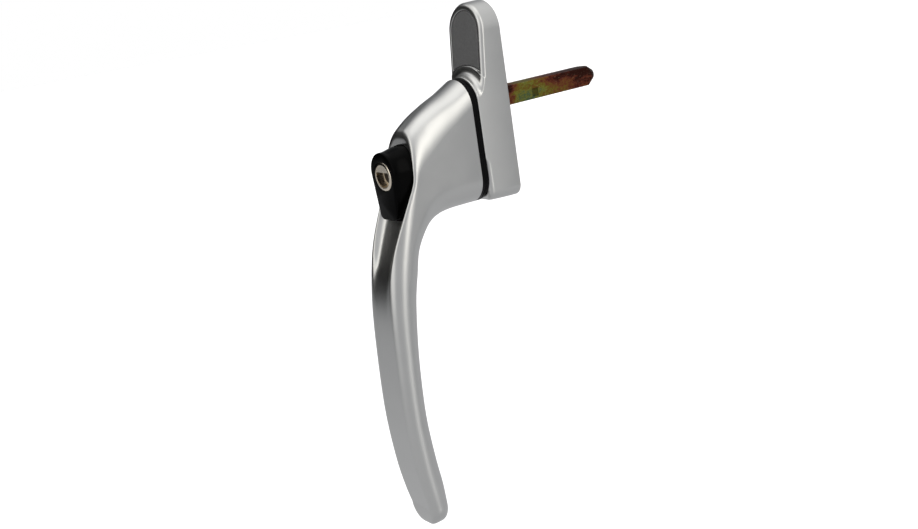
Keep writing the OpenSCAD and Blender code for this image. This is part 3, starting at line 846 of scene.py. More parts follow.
@dataclass
class BasePlate:
    """The cast base plate: a sloping nose, a seat with a hollow sweep up to it, and a hollow back.

    Attributes:
        half_w: half of the width at the window.
        half_h: half of the height.
        draft: how much narrower each side is at the front.
        corner_r: rounding of the lower corners.
        nose_t: thickness at the top of the nose.
        seat_t: thickness at the seat.
        slope: rise of the nose's front for each millimetre down.
        rim_r: radius of the seat's rim.
        cove_r: radius of the hollow sweep round the rim.
        edge_r: rounding of the nose's front edge.
        seat_edge_r: rounding of the side's edge beside the seat.
        low_edge_r: rounding of the front edge below the seat.
        crease_r: fillet where the sweep runs out on the nose.
        screw_z: height of each fixing screw from the spindle.
        hole_r: radius of the fixing screws' holes.
        head_r: radius of the sinks for their heads.
        sinks: depth of the upper and of the lower sink's floor.
        bolt_r: radius of the hole for the lock's bolt.
        lip_r: rounding of the seat's upper edge.
        back_edge_r: rounding of the edge at the window.
        cover_r: radius of the cover recess's arch.
        cover_hollow: radius of its hollow lower edge.
        cover_top: height of its upper end.
        cover_low: height of its lower corners.
        wall: thickness of the walls and the rib round the hollows in the back.
        boss: radius of the bosses round the screws.
        hub: radius of the boss round the spindle.
        hollow_y: depth of the hollows' floor.
    """

    half_w: float = 10.0
    half_h: float = 35.2
    draft: float = 0.7
    corner_r: float = 4.5
    nose_t: float = 7.4
    seat_t: float = 13.5
    slope: float = 0.107011
    rim_r: float = 10.1
    cove_r: float = 3.2
    edge_r: float = 1.5
    seat_edge_r: float = 0.35
    low_edge_r: float = 1.9
    crease_r: float = 0.9
    screw_z: float = 21.5
    hole_r: float = 2.6
    head_r: float = 4.4
    sinks: tuple[float, float] = (4.4, 8.5)
    bolt_r: float = 1.75
    lip_r: float = 0.5
    back_edge_r: float = 0.2
    cover_r: float = 7.6
    cover_hollow: float = 18.0
    cover_top: float = 32.4
    cover_low: float = 11.9
    wall: float = 2.2
    boss: float = 5.2
    hub: float = 10.8
    hollow_y: float = 3.2

    @property
    def lean(self) -> float:
        """Gives the angle by which the nose's front leans back, in radians."""
        return math.atan(self.slope)

    def nose_at(self, z: Points | float) -> Points | float:
        """Gives the depth of the nose's sloping front at a height."""
        return self.nose_t + self.slope * (self.half_h - z)

    def plan(self, x: Points, depth: Points, z: Points) -> Points:
        """Gives the distance to the sides, which are slightly crowned and lean in by the draft.

        Args:
            x: place across of each point.
            depth: depth of each point.
            z: height of each point.

        Returns:
            The distances, negative inside.
        """
        share = np.clip(depth / self.seat_t, 0, 1.1)
        inset = self.draft * (0.3 * share + 0.7 * share ** 2)
        centre = self.half_h - self.half_w
        arch = np.hypot(x, z - centre) - self.half_w + inset
        low = rounded_both(np.abs(x) - self.half_w + inset, -z - self.half_h + inset, self.corner_r - inset)
        return np.where(z > centre, arch, low)

    def seat(self, x: Points, depth: Points, z: Points) -> Points:
        """Gives the distance to the round seat, its rim and the hollow sweep up to it.

        Args:
            x: place across of each point.
            depth: depth of each point.
            z: height of each point.

        Returns:
            The distances, negative inside.
        """
        away = np.hypot(x, z) - self.rim_r
        under = depth - self.seat_t + self.lip_r
        top = rounded_both(away, depth - self.seat_t, self.lip_r)
        past = away - self.cove_r
        sweep = self.cove_r - np.hypot(np.minimum(past, 0), np.minimum(under, 0))
        return np.where((past < 0) & (under < 0), np.maximum(sweep, past), top)

    def shape(self, x: Points, depth: Points, z: Points) -> Points:
        """Gives the distance to the whole casting without its bores.

        Args:
            x: place across of each point.
            depth: depth of each point.
            z: height of each point.

        Returns:
            The distances, negative inside.
        """
        nose = (depth - np.minimum(self.nose_at(z), self.seat_t - 0.3)) * math.cos(self.lean)
        front = filled_either(nose, self.seat(x, depth, z), self.crease_r)
        # Below the rim the seat goes on as a flat, level with it
        front = np.minimum(front, np.maximum(depth - self.seat_t, z - 0.5))
        # The edge is tight beside the seat, and softer over the nose and at the lower end
        edge = (self.seat_edge_r + (self.edge_r - self.seat_edge_r) * eased((z - 2.5) / 7.0)
                + (self.low_edge_r - self.seat_edge_r) * eased((-18.4 - z) / 2.8))
        return rounded_both(rounded_both(self.plan(x, depth, z), front, edge), -depth, self.back_edge_r)

    def cover_outline(self, grow: float, steps: int = 60) -> Points:
        """Gives the cover's outline on the sloping front: an arch over a hollow lower edge.

        Args:
            grow: how far the outline is moved outwards.
            steps: points round the arch.

        Returns:
            Places across and up the slope, anticlockwise seen from the room.
        """
        radius, hollow = self.cover_r, self.cover_hollow
        top = self.cover_top / math.cos(self.lean) - radius
        low = self.cover_low / math.cos(self.lean) - math.sqrt(hollow ** 2 - radius ** 2)
        reach = math.degrees(math.asin((radius + grow) / (hollow - grow)))
        return joined((arc(0, top, radius + grow, 0, 180, steps),
                       arc(0, low, hollow - grow, 90 + reach, 90 - reach, steps // 2)), (11, 11))

    def on_slope(self, flat: Points, out: float) -> Ring:
        """Puts a flat outline on the sloping front, a distance out of it."""
        up, rise = math.cos(self.lean), math.sin(self.lean)
        return np.column_stack([flat[:, 0], self.nose_at(0.0) - flat[:, 1] * rise + out * up,
                                flat[:, 1] * up + out * rise])

    def recess(self) -> Surface:
        """Gives the tool for the cover's recess, with a fine broken edge at its rim."""
        marks = ((0.2, -1.9), (0.2, -0.24), (0.23, -0.13), (0.3, -0.05), (0.42, 0.01), (0.48, 0.05),
                 (0.48, 1.2))
        return skin([self.on_slope(self.cover_outline(grow), out) for grow, out in marks])

    def hollows(self) -> list[Surface]:
        """Gives the tools for the hollows in the back, with ribs and bosses left between them.

        Returns:
            The tools: on either side of the middle rib, a hollow next to the hub and one past the
            screw's boss, above and below the spindle.
        """
        inner, outer = self.wall / 2, self.half_w - self.wall
        tools = []
        for x_sign, z_sign, far in product((-1, 1), (-1, 1), (False, True)):
            low, high = self.hub - 1.2, self.screw_z - self.boss + 1.6
            if far:
                low, high = self.screw_z + self.boss - 1.6, 31.4 if z_sign > 0 else 33.0
            # The corner under the nose's arch is cut off further
            cut = high - (3.4 if far and z_sign > 0 else 0.4)
            flat = np.array([[inner, low], [outer, low], [outer, cut], [outer - 1.8, high], [inner, high]])
            tools.append(prism((flat * [x_sign, z_sign])[::x_sign * z_sign], -1.0, self.hollow_y))
        return tools

    def build(self) -> Piece:
        """Makes the casting, with its recess, bores and hollows.

        Returns:
            The piece, riding on the base.
        """
        edge, past, bolt = self.half_w, 20, self.bolt_r
        axes = (spaced((-edge - 0.6, -edge + 2.4, 0.2), (-edge + 2.4, edge - 2.4, 0.36),
                       (edge - 2.4, edge + 0.6, 0.2)),
                spaced((-0.6, 0.8, 0.2), (0.8, 6.0, 0.5), (6.0, 14.2, 0.2)),
                spaced((-36.0, -30.0, 0.25), (-30.0, -23.0, 0.35), (-23.0, -18.0, 0.25), (-18.0, 0.0, 0.5),
                       (0.0, 14.0, 0.22), (14.0, 30.0, 0.36), (30.0, 36.0, 0.25)))
        piece = make_piece("base_casting", *cast_from_field(self.shape, axes))
        carve(piece, self.recess())
        for z, sink in zip((self.screw_z, -self.screw_z), self.sinks):
            drill(piece, (self.hole_r, -1), (self.hole_r, past), z=z)
            drill(piece, (self.head_r, sink), (self.head_r, past), z=z)
        # The bore for the lever's journal and washer, then the hole for the bolt
        drill(piece, (8.75, -1), (8.75, 0.0), (8.6, 0.15), (8.6, 4.2), (6.55, 4.2), (6.55, past))
        drill(piece, (bolt, 9.6), (bolt, 13.3), (bolt + 0.2, 13.5), (bolt + 0.2, 16), z=BOLT_Z, steps=48)
        for hollow in self.hollows():
            carve(piece, hollow)
        finish_piece(piece, SATIN_CASTING, Body.BASE, "base_plate", sharp_degrees=32)
        smooth_from_field(piece, self.shape)
        return piece


@dataclass
class ScrewCover:
    """The moulded cap over the upper screw, set just below the casting's face.

    Attributes:
        plate: the base plate, which holds the outline and the slope.
        thickness: thickness of the cap.
        sunk: how far its face lies below the casting's.
        edge_r: rounding of its upper edge.
        stub_r: outer and inner radius of the stub on its back.
        stub_reach: how far the stub reaches in.
    """

    plate: BasePlate
    thickness: float = 1.5
    sunk: float = 0.1
    edge_r: float = 0.3
    stub_r: tuple[float, float] = (4.2, 3.4)
    stub_reach: float = 3.6

    def build(self) -> Piece:
        """Makes the cap with its hidden stub.

        Returns:
            The piece, riding on the cover.
        """
        plate = self.plate
        marks = [(-0.15, -self.thickness), (0.0, -self.thickness + 0.15)]
        marks += [(self.edge_r * (math.cos(a) - 1), self.edge_r * (math.sin(a) - 1))
                  for a in np.radians(np.linspace(0, 90, 7))]
        piece = make_piece("screw_cap", *skin([
            plate.on_slope(plate.cover_outline(grow), out - self.sunk) for grow, out in marks]))
        # The stub stands square to the slope, over the screw's head
        up = plate.screw_z / math.cos(plate.lean) + (self.thickness + 1.1) * math.tan(plate.lean)
        outer, inner = (circle(0, up, radius, 64) for radius in self.stub_r)
        low, high = -self.stub_reach, -self.thickness
        stub = [plate.on_slope(flat, out)
                for flat, out in ((outer, low), (outer, high), (inner, high), (inner, low))]
        carve(piece, skin(stub, loop=True), Operation.JOIN)
        return finish_piece(piece, GREY_NYLON, Body.COVER, "screw_cover", sharp_degrees=50)


@dataclass
class FootPlate:
    """The moulded bearing plate between the lever and the base.

    Attributes:
        radius: radius of its two round ends.
        length: distance between the ends' centres.
        back: depth of the face on the seat.
        front: depth of the face on the lever.
        groove: depth of the fine line along its edge.
        edge_r: rounding of its edges.
        peg_r: radius of the two pegs that sit in the lever.
        peg_x: distance from the middle to each peg.
        peg_z: height of the pegs.
        journal_r: radius of the hole for the lever's journal.
        bolt_r: radius of the hole for the lock's bolt.
    """

    radius: float = 9.6
    length: float = 25.0
    back: float = 13.55
    front: float = 16.35
    groove: float = 0.14
    edge_r: float = 0.28
    peg_r: float = 1.2
    peg_x: float = 7.0
    peg_z: float = -14.0
    journal_r: float = 6.6
    bolt_r: float = 1.65

    def outline(self, inset: float) -> Points:
        """Gives the obround outline, drawn in by an inset."""
        radius = self.radius - inset
        return joined((arc(0, 0, radius, 0, 180, 72), arc(0, -self.length, radius, 180, 360, 72)), (25, 25))

    def build(self) -> Piece:
        """Makes the plate with its pegs and holes.

        Returns:
            The piece, riding on the handle.
        """
        turn = np.radians(np.linspace(0, 90, 6))
        small, large = self.edge_r * (1 - np.cos(turn)), self.edge_r * (1 - np.sin(turn))
        line = (self.back + self.front) / 2 + 0.1
        profile = [*zip(large, self.back + small)]
        profile += [(self.groove * share, line + off) for share, off in (
            (0, -0.3), (0.3, -0.16), (1, -0.06), (1, 0.06), (0.3, 0.16), (0, 0.3))]
        profile += zip(small, self.front - large)
        piece = make_piece("bearing_plate", *skin([
            at_depth(self.outline(inset), depth) for inset, depth in profile]))
        peg = [(self.peg_r, 15.0), (self.peg_r, 18.65), (self.peg_r - 0.3, 18.95)]
        for x in (-self.peg_x, self.peg_x):
            carve(piece, turned(peg, x, self.peg_z, steps=32), Operation.JOIN)
        before, past = 12.0, 18.0
        drill(piece, (self.journal_r, before), (self.journal_r, past))
        drill(piece, (self.bolt_r, before), (self.bolt_r, past), z=BOLT_Z, steps=32)
        return finish_piece(piece, BLACK_ACETAL, Body.HANDLE, "foot_plate")


@dataclass
class Lever:
    """The cast lever: foot, neck and grip in one smooth run, with a scoop that holds the button.

    Attributes:
        button: the push button, which gives the pocket its outline.
        drop: distance from the spindle down to the tip.
        reach: depth of the grip's face.
        grip_t: thickness of the grip.
        half_grip: half of the grip's width.
        edge_r: rounding of the grip's front edges.
        foot_y: depth of the foot's face.
        foot_r: radius of the foot's round ends.
        foot_z: height of the lower end's centre.
        tip_len: length over which the tip is rounded.
        ridge_r: rounding of the ridge between scoop and lever.
        scoop_r: radius of the scoop.
        scoop_floor: depth of the scoop's floor beside the neck.
        scoop_bend: height at which the scoop starts to run out.
        scoop_tilt: slope of the run out, in degrees.
        scoop_half: half of the scoop's width at the top of the run out.
        scoop_taper: how much that half width shrinks for each millimetre of the run out.
        scoop_power: how square the scoop's section is at its top, where 2 is round.
        scoop_square: how much squarer it becomes for each millimetre of the run out.
        scoop_length: length of the run out, past which it stays as it is.
        pocket_gap: distance between the pocket and the button.
        pocket_y: depth of the pocket's floor behind the button.
        journal_r: radius of the journal in the base plate.
        groove_r: radius of the groove for the retaining ring in it.
        square: width of the square bore for the spindle.
        ring_gap: distance between the rings of the loft.
    """

    button: PushButton
    drop: float = 147.0
    reach: float = 62.0
    grip_t: float = 9.0
    half_grip: float = 9.3
    edge_r: float = 3.9
    foot_y: float = 16.35
    foot_r: float = 9.6
    foot_z: float = -25.0
    tip_len: float = 8.0
    ridge_r: float = 1.3
    scoop_r: float = 11.0
    scoop_floor: float = 42.0
    scoop_bend: float = -18.0
    scoop_tilt: float = 27.2
    scoop_half: float = 10.1
    scoop_taper: float = 0.155
    scoop_power: float = 3.2
    scoop_square: float = 0.08
    scoop_length: float = 45.0
    pocket_gap: float = 0.2
    pocket_y: float = 33.9
    journal_r: float = 6.5
    groove_r: float = 5.85
    square: float = 7.1
    ring_gap: float = 0.6

    def sections(self) -> Points:
        """Gives the named sections from the foot to the tip.

        Returns:
            A row each of front depth and height, back depth and height, half width, then the front and
            the back edge's rounding, each across and along the section.
        """
        y, top, low, back = self.foot_y, self.foot_r, self.foot_z - self.foot_r, self.reach - self.grip_t
        r, g, e, end, face = self.foot_r, self.half_grip, self.edge_r, -self.drop, self.reach
        return np.array([
            [y, top, y, low, r, r, r, r, r],
            [y + 6.2, top - 3.1, y + 6.2, low + 0.1, r, r - 0.1, r + 0.3, r - 0.1, r],
            [y + 13.5, top - 6.2, y + 11.6, low + 0.1, r - 0.1, r - 0.8, r + 1.3, r - 0.6, r],
            [y + 20.9, top - 10.2, y + 17, low - 0.5, r - 0.2, r - 1.5, r + 2.2, r - 1.6, r],
            [face - 18.6, top - 15.5, back - 15, low - 2.5, g, e + 3.7, e + 7.6, e + 3.4, e + 5],
            [face - 13.9, top - 24.1, back - 11, low - 6.4, g, e + 2.1, e + 9, e + 2.6, e + 4],
            [face - 9.7, low + 6.4, back - 8, low - 11.4, g, e + 1.2, e + 7, e + 2, e + 3.6],
            [face - 5.1, low - 9.1, back - 6.1, low - 18.2, g, e + 0.8, e + 2.7, e + 1.2, e + 2.3],
            [face - 2, low - 26.4, back - 3.4, low - 28.6, g, e + 0.3, e + 1.3, e + 0.5, e + 1.3],
            [face - 0.6, end + 65.5, back - 1, end + 65.1, g, e, e + 0.7, e + 0.4, e + 0.8],
            [face - 0.1, end + 44.5, back - 0.1, end + 44.5, g, e, e + 0.5, e + 0.4, e + 0.6],
            [face - 1.3, end + 26.5, back - 1.2, end + 28, g - 0.1, e, e + 0.4, e + 0.3, e + 0.6],
            [face - 3, end + 15.5, back - 2.6, end + 17, g - 0.4, e - 0.3, e + 0.3, e, e + 0.4],
            [face - 4.6, end + 8.2, back - 3.2, end + 8.6, g - 1, e - 0.6, e - 0.2, e - 0.6, e - 0.2]])

    def section_at(self, place: float) -> Points:
        """Gives the section at a place between the named ones, on a smooth curve through them."""
        rows = self.sections()
        return on_curve(np.vstack([2 * rows[0] - rows[1], rows, 2 * rows[-1] - rows[-2]]), place)

    def ring(self, section: Points, scale: float = 1.0, thin: float = 1.0, move: float = 0.0) -> Ring:
        """Gives one ring of points round a section.

        Args:
            section: the section's nine sizes.
            scale: share of the width.
            thin: share of the thickness.
            move: how far the ring is moved along the lever's run.

        Returns:
            The ring, anticlockwise seen from the tip's side.
        """
        front, back = section[0:2], section[2:4]
        span = float(np.hypot(*(front - back)))
        across = (front - back) / span
        # The run goes from the foot to the tip, square to the section
        run = np.array([across[1], -across[0]])
        centre = (front + back) / 2 + move * run
        half, width = span / 2 * thin, section[4] * scale
        # Each edge is a quarter of an ellipse, so the sides are slightly crowned as a casting's are
        rounding = np.minimum(section[5:9] * min(scale, thin), [width - 0.01, half * 0.99] * 2)
        front_r, back_r = rounding[:2], rounding[2:]
        edges = []
        for x_sign, y_sign, radius, start, steps in (
                (1, 1, front_r, 0, 30), (-1, 1, front_r, 90, 30), (-1, -1, back_r, 180, 16),
                (1, -1, back_r, 270, 16)):
            middle = [x_sign * (width - radius[0]), y_sign * (half - radius[1])]
            edges.append(arc(0, 0, 1.0, start, start + 90, steps) * radius + middle)
        points = joined(edges, (26, 8, 12, 8))
        return np.column_stack([points[:, 0], centre + across * points[:, 1:2]])

    def scoop(self, points: Points) -> Points:
        """Gives the distance to the flat-bottomed channel that runs down the neck and out of the grip.

        Args:
            points: places across, depths and heights.

        Returns:
            The distances, negative in the channel.
        """
        away = points[:, 1:3] - [self.scoop_floor + self.scoop_r, self.scoop_bend]
        tilt = math.radians(self.scoop_tilt)
        along = away @ [math.sin(tilt), -math.cos(tilt)]
        tilted = away @ [math.cos(tilt), math.sin(tilt)]
        deep = np.where(away[:, 1] > 0, away[:, 0], np.where(along > 0, tilted, np.hypot(*away.T)))
        run = np.clip(along, 0, self.scoop_length)
        half = self.scoop_half - self.scoop_taper * run
        power = self.scoop_power + self.scoop_square * run
        share = (np.abs(points[:, 0]) / half) ** power + (np.abs(deep) / self.scoop_r) ** power
        return (share ** (1 / power) - 1) * np.minimum(half, self.scoop_r)

    def hollow_out(self, points: Points, facing: Points) -> Points:
        """Pushes the front back to the scoop, with a rounded ridge where the two meet.

        Args:
            points: the lever's points.
            facing: how far the surface looks to the room at each point, from minus one to one.

        Returns:
            The moved points.
        """
        least = 0.05

        def outside(push: Points) -> Points:
            """Gives how far outside the finished shape each point lies, once pushed back."""
            moved = points - push[:, None] * [0, 1, 0]
            return rounded_both(-push * np.maximum(facing, least), -self.scoop(moved), self.ridge_r)

        low, high = np.zeros(len(points)), np.full(len(points), 22.0)
        work = (facing > least) & (outside(low) > 1e-4)
        for _ in range(40):
            middle = (low + high) / 2
            more = outside(middle) > 0
            low, high = np.where(more, middle, low), np.where(more, high, middle)
        return points - np.where(work, (low + high) / 2, 0.0)[:, None] * [0, 1, 0]

    def build(self) -> Piece:
        """Makes the lever with its scoop, pocket and journal.

        Returns:
            The piece, riding on the handle.
        """
        # The rings are spread evenly by the mean of the run along the middle and along the front
        sections = self.sections()
        marks = np.linspace(0, len(sections) - 1, (len(sections) - 1) * 60 + 1)
        dense = np.array([self.section_at(mark) for mark in marks])
        middle, front = (dense[:, 0:2] + dense[:, 2:4]) / 2, dense[:, 0:2]
        steps = [np.hypot(*np.diff(line, axis=0).T) for line in (middle, front)]
        run = np.concatenate([[0], np.cumsum((steps[0] + steps[1]) / 2)])
        places = np.interp(np.linspace(0, run[-1], int(run[-1] / self.ring_gap)), run, marks)
        rings = [self.ring(self.section_at(place)) for place in places]
        for turn in np.radians([*np.linspace(0, 80, 24)[1:], 83, 86, 88]):
            rings.append(self.ring(sections[-1], math.cos(turn), math.sqrt(math.cos(turn)),
                                   self.tip_len * math.sin(min(turn, math.radians(86)))))
        points, faces = skin(rings)
        # It stays inside the solid's box, but may touch it at the foot
        low, high = (np.array(corner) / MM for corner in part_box("lever"))
        limit = 0.002
        points = np.clip(points, [low[0] + limit, -high[1], low[2] + limit],
                         [high[0] - limit, -low[1] - limit, high[2] - limit])
        draft = make_piece("draft", points, faces)
        facing = -read_rows(draft.data.vertices, "normal")[:, 1]
        bpy.data.objects.remove(draft)
        piece = make_piece("lever_casting", self.hollow_out(points, facing), faces)
        carve(piece, prism(self.button.outline(-self.pocket_gap), self.pocket_y, 70.0))
        outer, groove = self.journal_r, self.groove_r
        carve(piece, turned([
            (outer - 1.2, 0.6), (outer - 0.2, 0.6), (outer, 0.8), (outer, 1.4), (groove, 1.4), (groove, 2.5),
            (outer, 2.5), (outer, 18.0)]), Operation.JOIN)
        carve(piece, prism(rectangle(self.square / 2, self.square / 2), -1.0, 25.8))
        return finish_piece(piece, SATIN_CASTING, Body.HANDLE, "lever", sharp_degrees=34)


@dataclass
class PushButton:
    """The moulded push button with the key barrel and its plug.

    Attributes:
        face: depth of the button's face.
        top_r: radius of its round upper end, at its back.
        top_z: height of the upper end's centre.
        corner_r: radius of its lower corners, at its back.
        corner_x: distance from the middle to each lower corner's centre.
        length: height from the corners' centres to the upper centre.
        depth: length of the button.
        barrel_r: radius of the barrel.
        plug_r: radius of the plug.
        mouth: how far the plug's face lies inside the barrel.
        mouth_r: radius of the barrel's mouth.
        mouth_flat: height of the mouth's flat upper side above the axis.
        shoulder: how far the barrel's inner shoulder lies behind the plug's face.
        play: how far each bore stands off the barrel or the plug in it.
        slot: half of the key slot's width and height.
        tail_half: half of the width of the plug's square tail.
        bolt_r: radius of the hole for the lock's bolt.
        spring_r: radius of the pocket for the return spring.
    """

    face: float = 51.2
    top_r: float = 8.0
    top_z: float = -16.2
    corner_r: float = 2.9
    corner_x: float = 2.9
    length: float = 14.3
    depth: float = 14.0
    barrel_r: float = 5.15
    plug_r: float = 3.05
    mouth: float = 2.6
    mouth_r: float = 3.85
    mouth_flat: float = 1.5
    shoulder: float = 0.4
    play: float = 0.05
    slot: tuple[float, float] = (0.6, 2.3)
    tail_half: float = 1.3
    bolt_r: float = 1.55
    spring_r: float = 2.6

    @property
    def back(self) -> float:
        """Gives the depth of the button's back."""
        return self.face - self.depth

    def outline(self, inset: float, corner_share: float = 1.0, steps: int = 64) -> Points:
        """Gives the outline drawn in by an inset, the corners' rounding by a share of it."""
        return shield_outline(self.top_r - inset, self.corner_r - corner_share * inset, self.corner_x,
                              self.length, self.top_z, steps)

    def profile(self) -> Points:
        """Gives the rings of the button, whose sides draw in towards the front.

        Returns:
            Depth from the back and inset of each ring.
        """
        marks = np.array([
            [0, 0.36], [0.4, 0], [6, 0], [7.4, 0.09], [8.7, 0.31], [10, 0.59], [11.3, 0.83], [12.4, 0.94],
            [13.1, 0.91], [13.5, 0.92], [13.75, 0.98], [13.93, 1.12], [14, 1.34]])
        straight, last = 3, len(marks) - 1
        padded = np.vstack([marks[:1], marks, marks[-1:]])
        places = np.linspace(straight, last, 4 * (last - straight) + 1)[1:]
        return np.vstack([marks[:straight + 1], [on_curve(padded, place) for place in places]])

    def build_button(self) -> Piece:
        """Makes the button.

        Returns:
            The piece, riding on the button.
        """
        piece = make_piece("button_moulding", *skin([
            at_depth(self.outline(inset, 0.55, 96), self.back + depth) for depth, inset in self.profile()]))
        seat, face, before = self.back + 3.0, self.face, self.back - 1
        bore, rim = self.barrel_r + self.play, self.barrel_r + self.play + 0.12
        drill(piece, (bore, seat - 1), (bore, face - 0.12), (rim, face), (rim, face + 1), z=LOCK_Z)
        drill(piece, (bore + 0.4, before), (bore + 0.4, seat + 0.05), z=LOCK_Z)
        # The bolt's hole, and a pocket round it for the return spring of the pressed button
        for radius, deep, steps in ((self.bolt_r, 5.4, 32), (self.spring_r, 3.1, 48)):
            drill(piece, (radius, before), (radius, self.back + deep), z=BOLT_Z, steps=steps)
        return finish_piece(piece, BLACK_ABS, Body.BUTTON, "push_button")

    def build_barrel(self) -> Piece:
        """Makes the barrel with its ring recess and D-shaped mouth.

        Returns:
            The piece, riding on the button.
        """
        start, front = self.back + 3.05, self.face + 0.1
        outer, inner = self.barrel_r, self.mouth_r
        # The front is slightly domed, with a shallow ring turned into it round the mouth
        piece = make_piece("key_barrel", *turned([
            (outer, start), (outer, front - 0.5), (outer - 0.05, front - 0.4), (outer - 0.15, front - 0.31),
            (inner + 0.75, front - 0.08), (inner + 0.35, front - 0.01), (inner + 0.2, front),
            (inner + 0.14, front - 0.02), (inner + 0.1, front - 0.16), (1.0, front - 0.16)],
            z=LOCK_Z, steps=128))
        bore_r, plug_front = self.plug_r + self.play, self.face - self.mouth
        drill(piece, (bore_r, start - 1), (bore_r, plug_front + self.play), z=LOCK_Z)
        reach = math.degrees(math.asin(self.mouth_flat / inner))
        mouth = arc(0, LOCK_Z, inner, 180 - reach, 360 + reach, 80)
        carve(piece, prism(mouth, plug_front - self.shoulder, front + 1))
        return finish_piece(piece, NICKEL_BARREL, Body.BUTTON, "lock_barrel", sharp_degrees=30)

    def build_plug(self) -> Piece:
        """Makes the plug with its key slot and square tail.

        Returns:
            The piece, riding on the key plug.
        """
        start, front = self.back + 3.0, self.face - self.mouth
        piece = make_piece("key_plug", *turned([
            (self.plug_r, start), (self.plug_r, front - 0.2), (self.plug_r - 0.2, front), (1.2, front)],
            z=LOCK_Z))
        tail = rectangle(self.tail_half, self.tail_half, LOCK_Z)
        carve(piece, prism(tail, start - 2.4, start + 0.3), Operation.JOIN)
        slot_x, slot_z = self.slot
        slot = rectangle(slot_x, slot_z, LOCK_Z)
        carve(piece, prism(slot, start + 0.8, front + 1))
        # The slot's edges are broken by a fine chamfer
        rim = rectangle(slot_x + 0.2, slot_z + 0.15, LOCK_Z)
        carve(piece, skin([at_depth(slot, front - 0.2), at_depth(rim, front + 0.05)]))
        # The plug's dark colour is painted shade for the bottom of the barrel's mouth
        return finish_piece(piece, NICKEL_PLUG_PAINTED_SHADE, Body.KEY_PLUG, "lock_plug", sharp_degrees=30)


@dataclass
class Spindle:
    """The square bar: drawn steel with softened edges, an end turned to a cone and a stake mark.

    Attributes:
        width: width across the flats.
        inside: how far it reaches into the neck.
        outside: how far it stands out behind the plate.
        corner_r: rounding of its long edges.
        tip_r: radius of the turned end.
        tip_slope: how much the cone widens for each millimetre.
        mark_y: middle of the stake mark behind the plate.
        mark_z: height of that middle.
        mark_deep: depth of the stake mark.
        pin_y: depth of the spring pin that holds the bar in the neck.
        pin_r: radius of the pin's bore.
    """

    width: float = 7.0
    inside: float = 25.5
    outside: float = 48.0
    corner_r: float = 0.5
    tip_r: float = 2.1
    tip_slope: float = 0.62
    mark_y: float = 17.3
    mark_z: float = -1.1
    mark_deep: float = 0.28
    pin_y: float = 10.8
    pin_r: float = 1.25

    def sweep(self, tree: Tree, sizes: Sockets) -> Node:
        """Sweeps the rounded square along the bar's axis.

        Args:
            tree: the Geometry Nodes tree.
            sizes: the tree's inputs.

        Returns:
            The closed bar.
        """
        start, end = (add_node(tree, "ShaderNodeCombineXYZ", {"Y": sizes[name]})
                      for name in ("Start", "End"))
        line = add_node(tree, "GeometryNodeCurvePrimitiveLine", {"Start": start, "End": end})
        path = add_node(tree, "GeometryNodeResampleCurve", {"Curve": line, "Count": 60})
        square = add_node(tree, "GeometryNodeCurvePrimitiveQuadrilateral", {
            "Width": sizes["Width"], "Height": sizes["Width"]})
        section = add_node(tree, "GeometryNodeFilletCurve", {
            "Curve": square, "Radius": sizes["Corner"], "Count": 8}, mode="POLY")
        return add_node(tree, "GeometryNodeCurveToMesh", {
            "Curve": path, "Profile Curve": section, "Fill Caps": True})

    def build(self) -> Piece:
        """Makes the bar.

        Returns:
            The piece, riding on the handle.
        """
        piece = grow_piece("square_spindle", YELLOW_ZINC, self.sweep, {
            "Start": -self.inside, "End": self.outside, "Width": self.width, "Corner": self.corner_r})
        # The turned end leaves a curved edge on each flat
        end, clear = -self.outside, self.width * 0.8
        carve(piece, turned([
            (self.tip_r - 0.3, end), (self.tip_r, end + 0.2),
            (clear, end + (clear - self.tip_r) / self.tip_slope), (clear, self.inside + 1)]), Operation.KEEP)
        floor, rim = (
            np.array([[self.width / 2 + out, -self.mark_y + y * half, self.mark_z + z * high]
                      for y, z in ((-1, 1), (1, 1), (1, -1), (-1, -1))])
            for out, half, high in ((-self.mark_deep, 1.25, 1.3), (0.05, 1.5, 1.6)))
        carve(piece, skin([floor, rim]))
        # The pin's bore runs across the bar
        bore = circle(self.pin_y, 0, self.pin_r, 48)
        carve(piece, skin([np.column_stack([np.full(48, x), bore]) for x in (8.0, -8.0)]))
        return finish_piece(piece, YELLOW_ZINC, Body.HANDLE, "spindle")


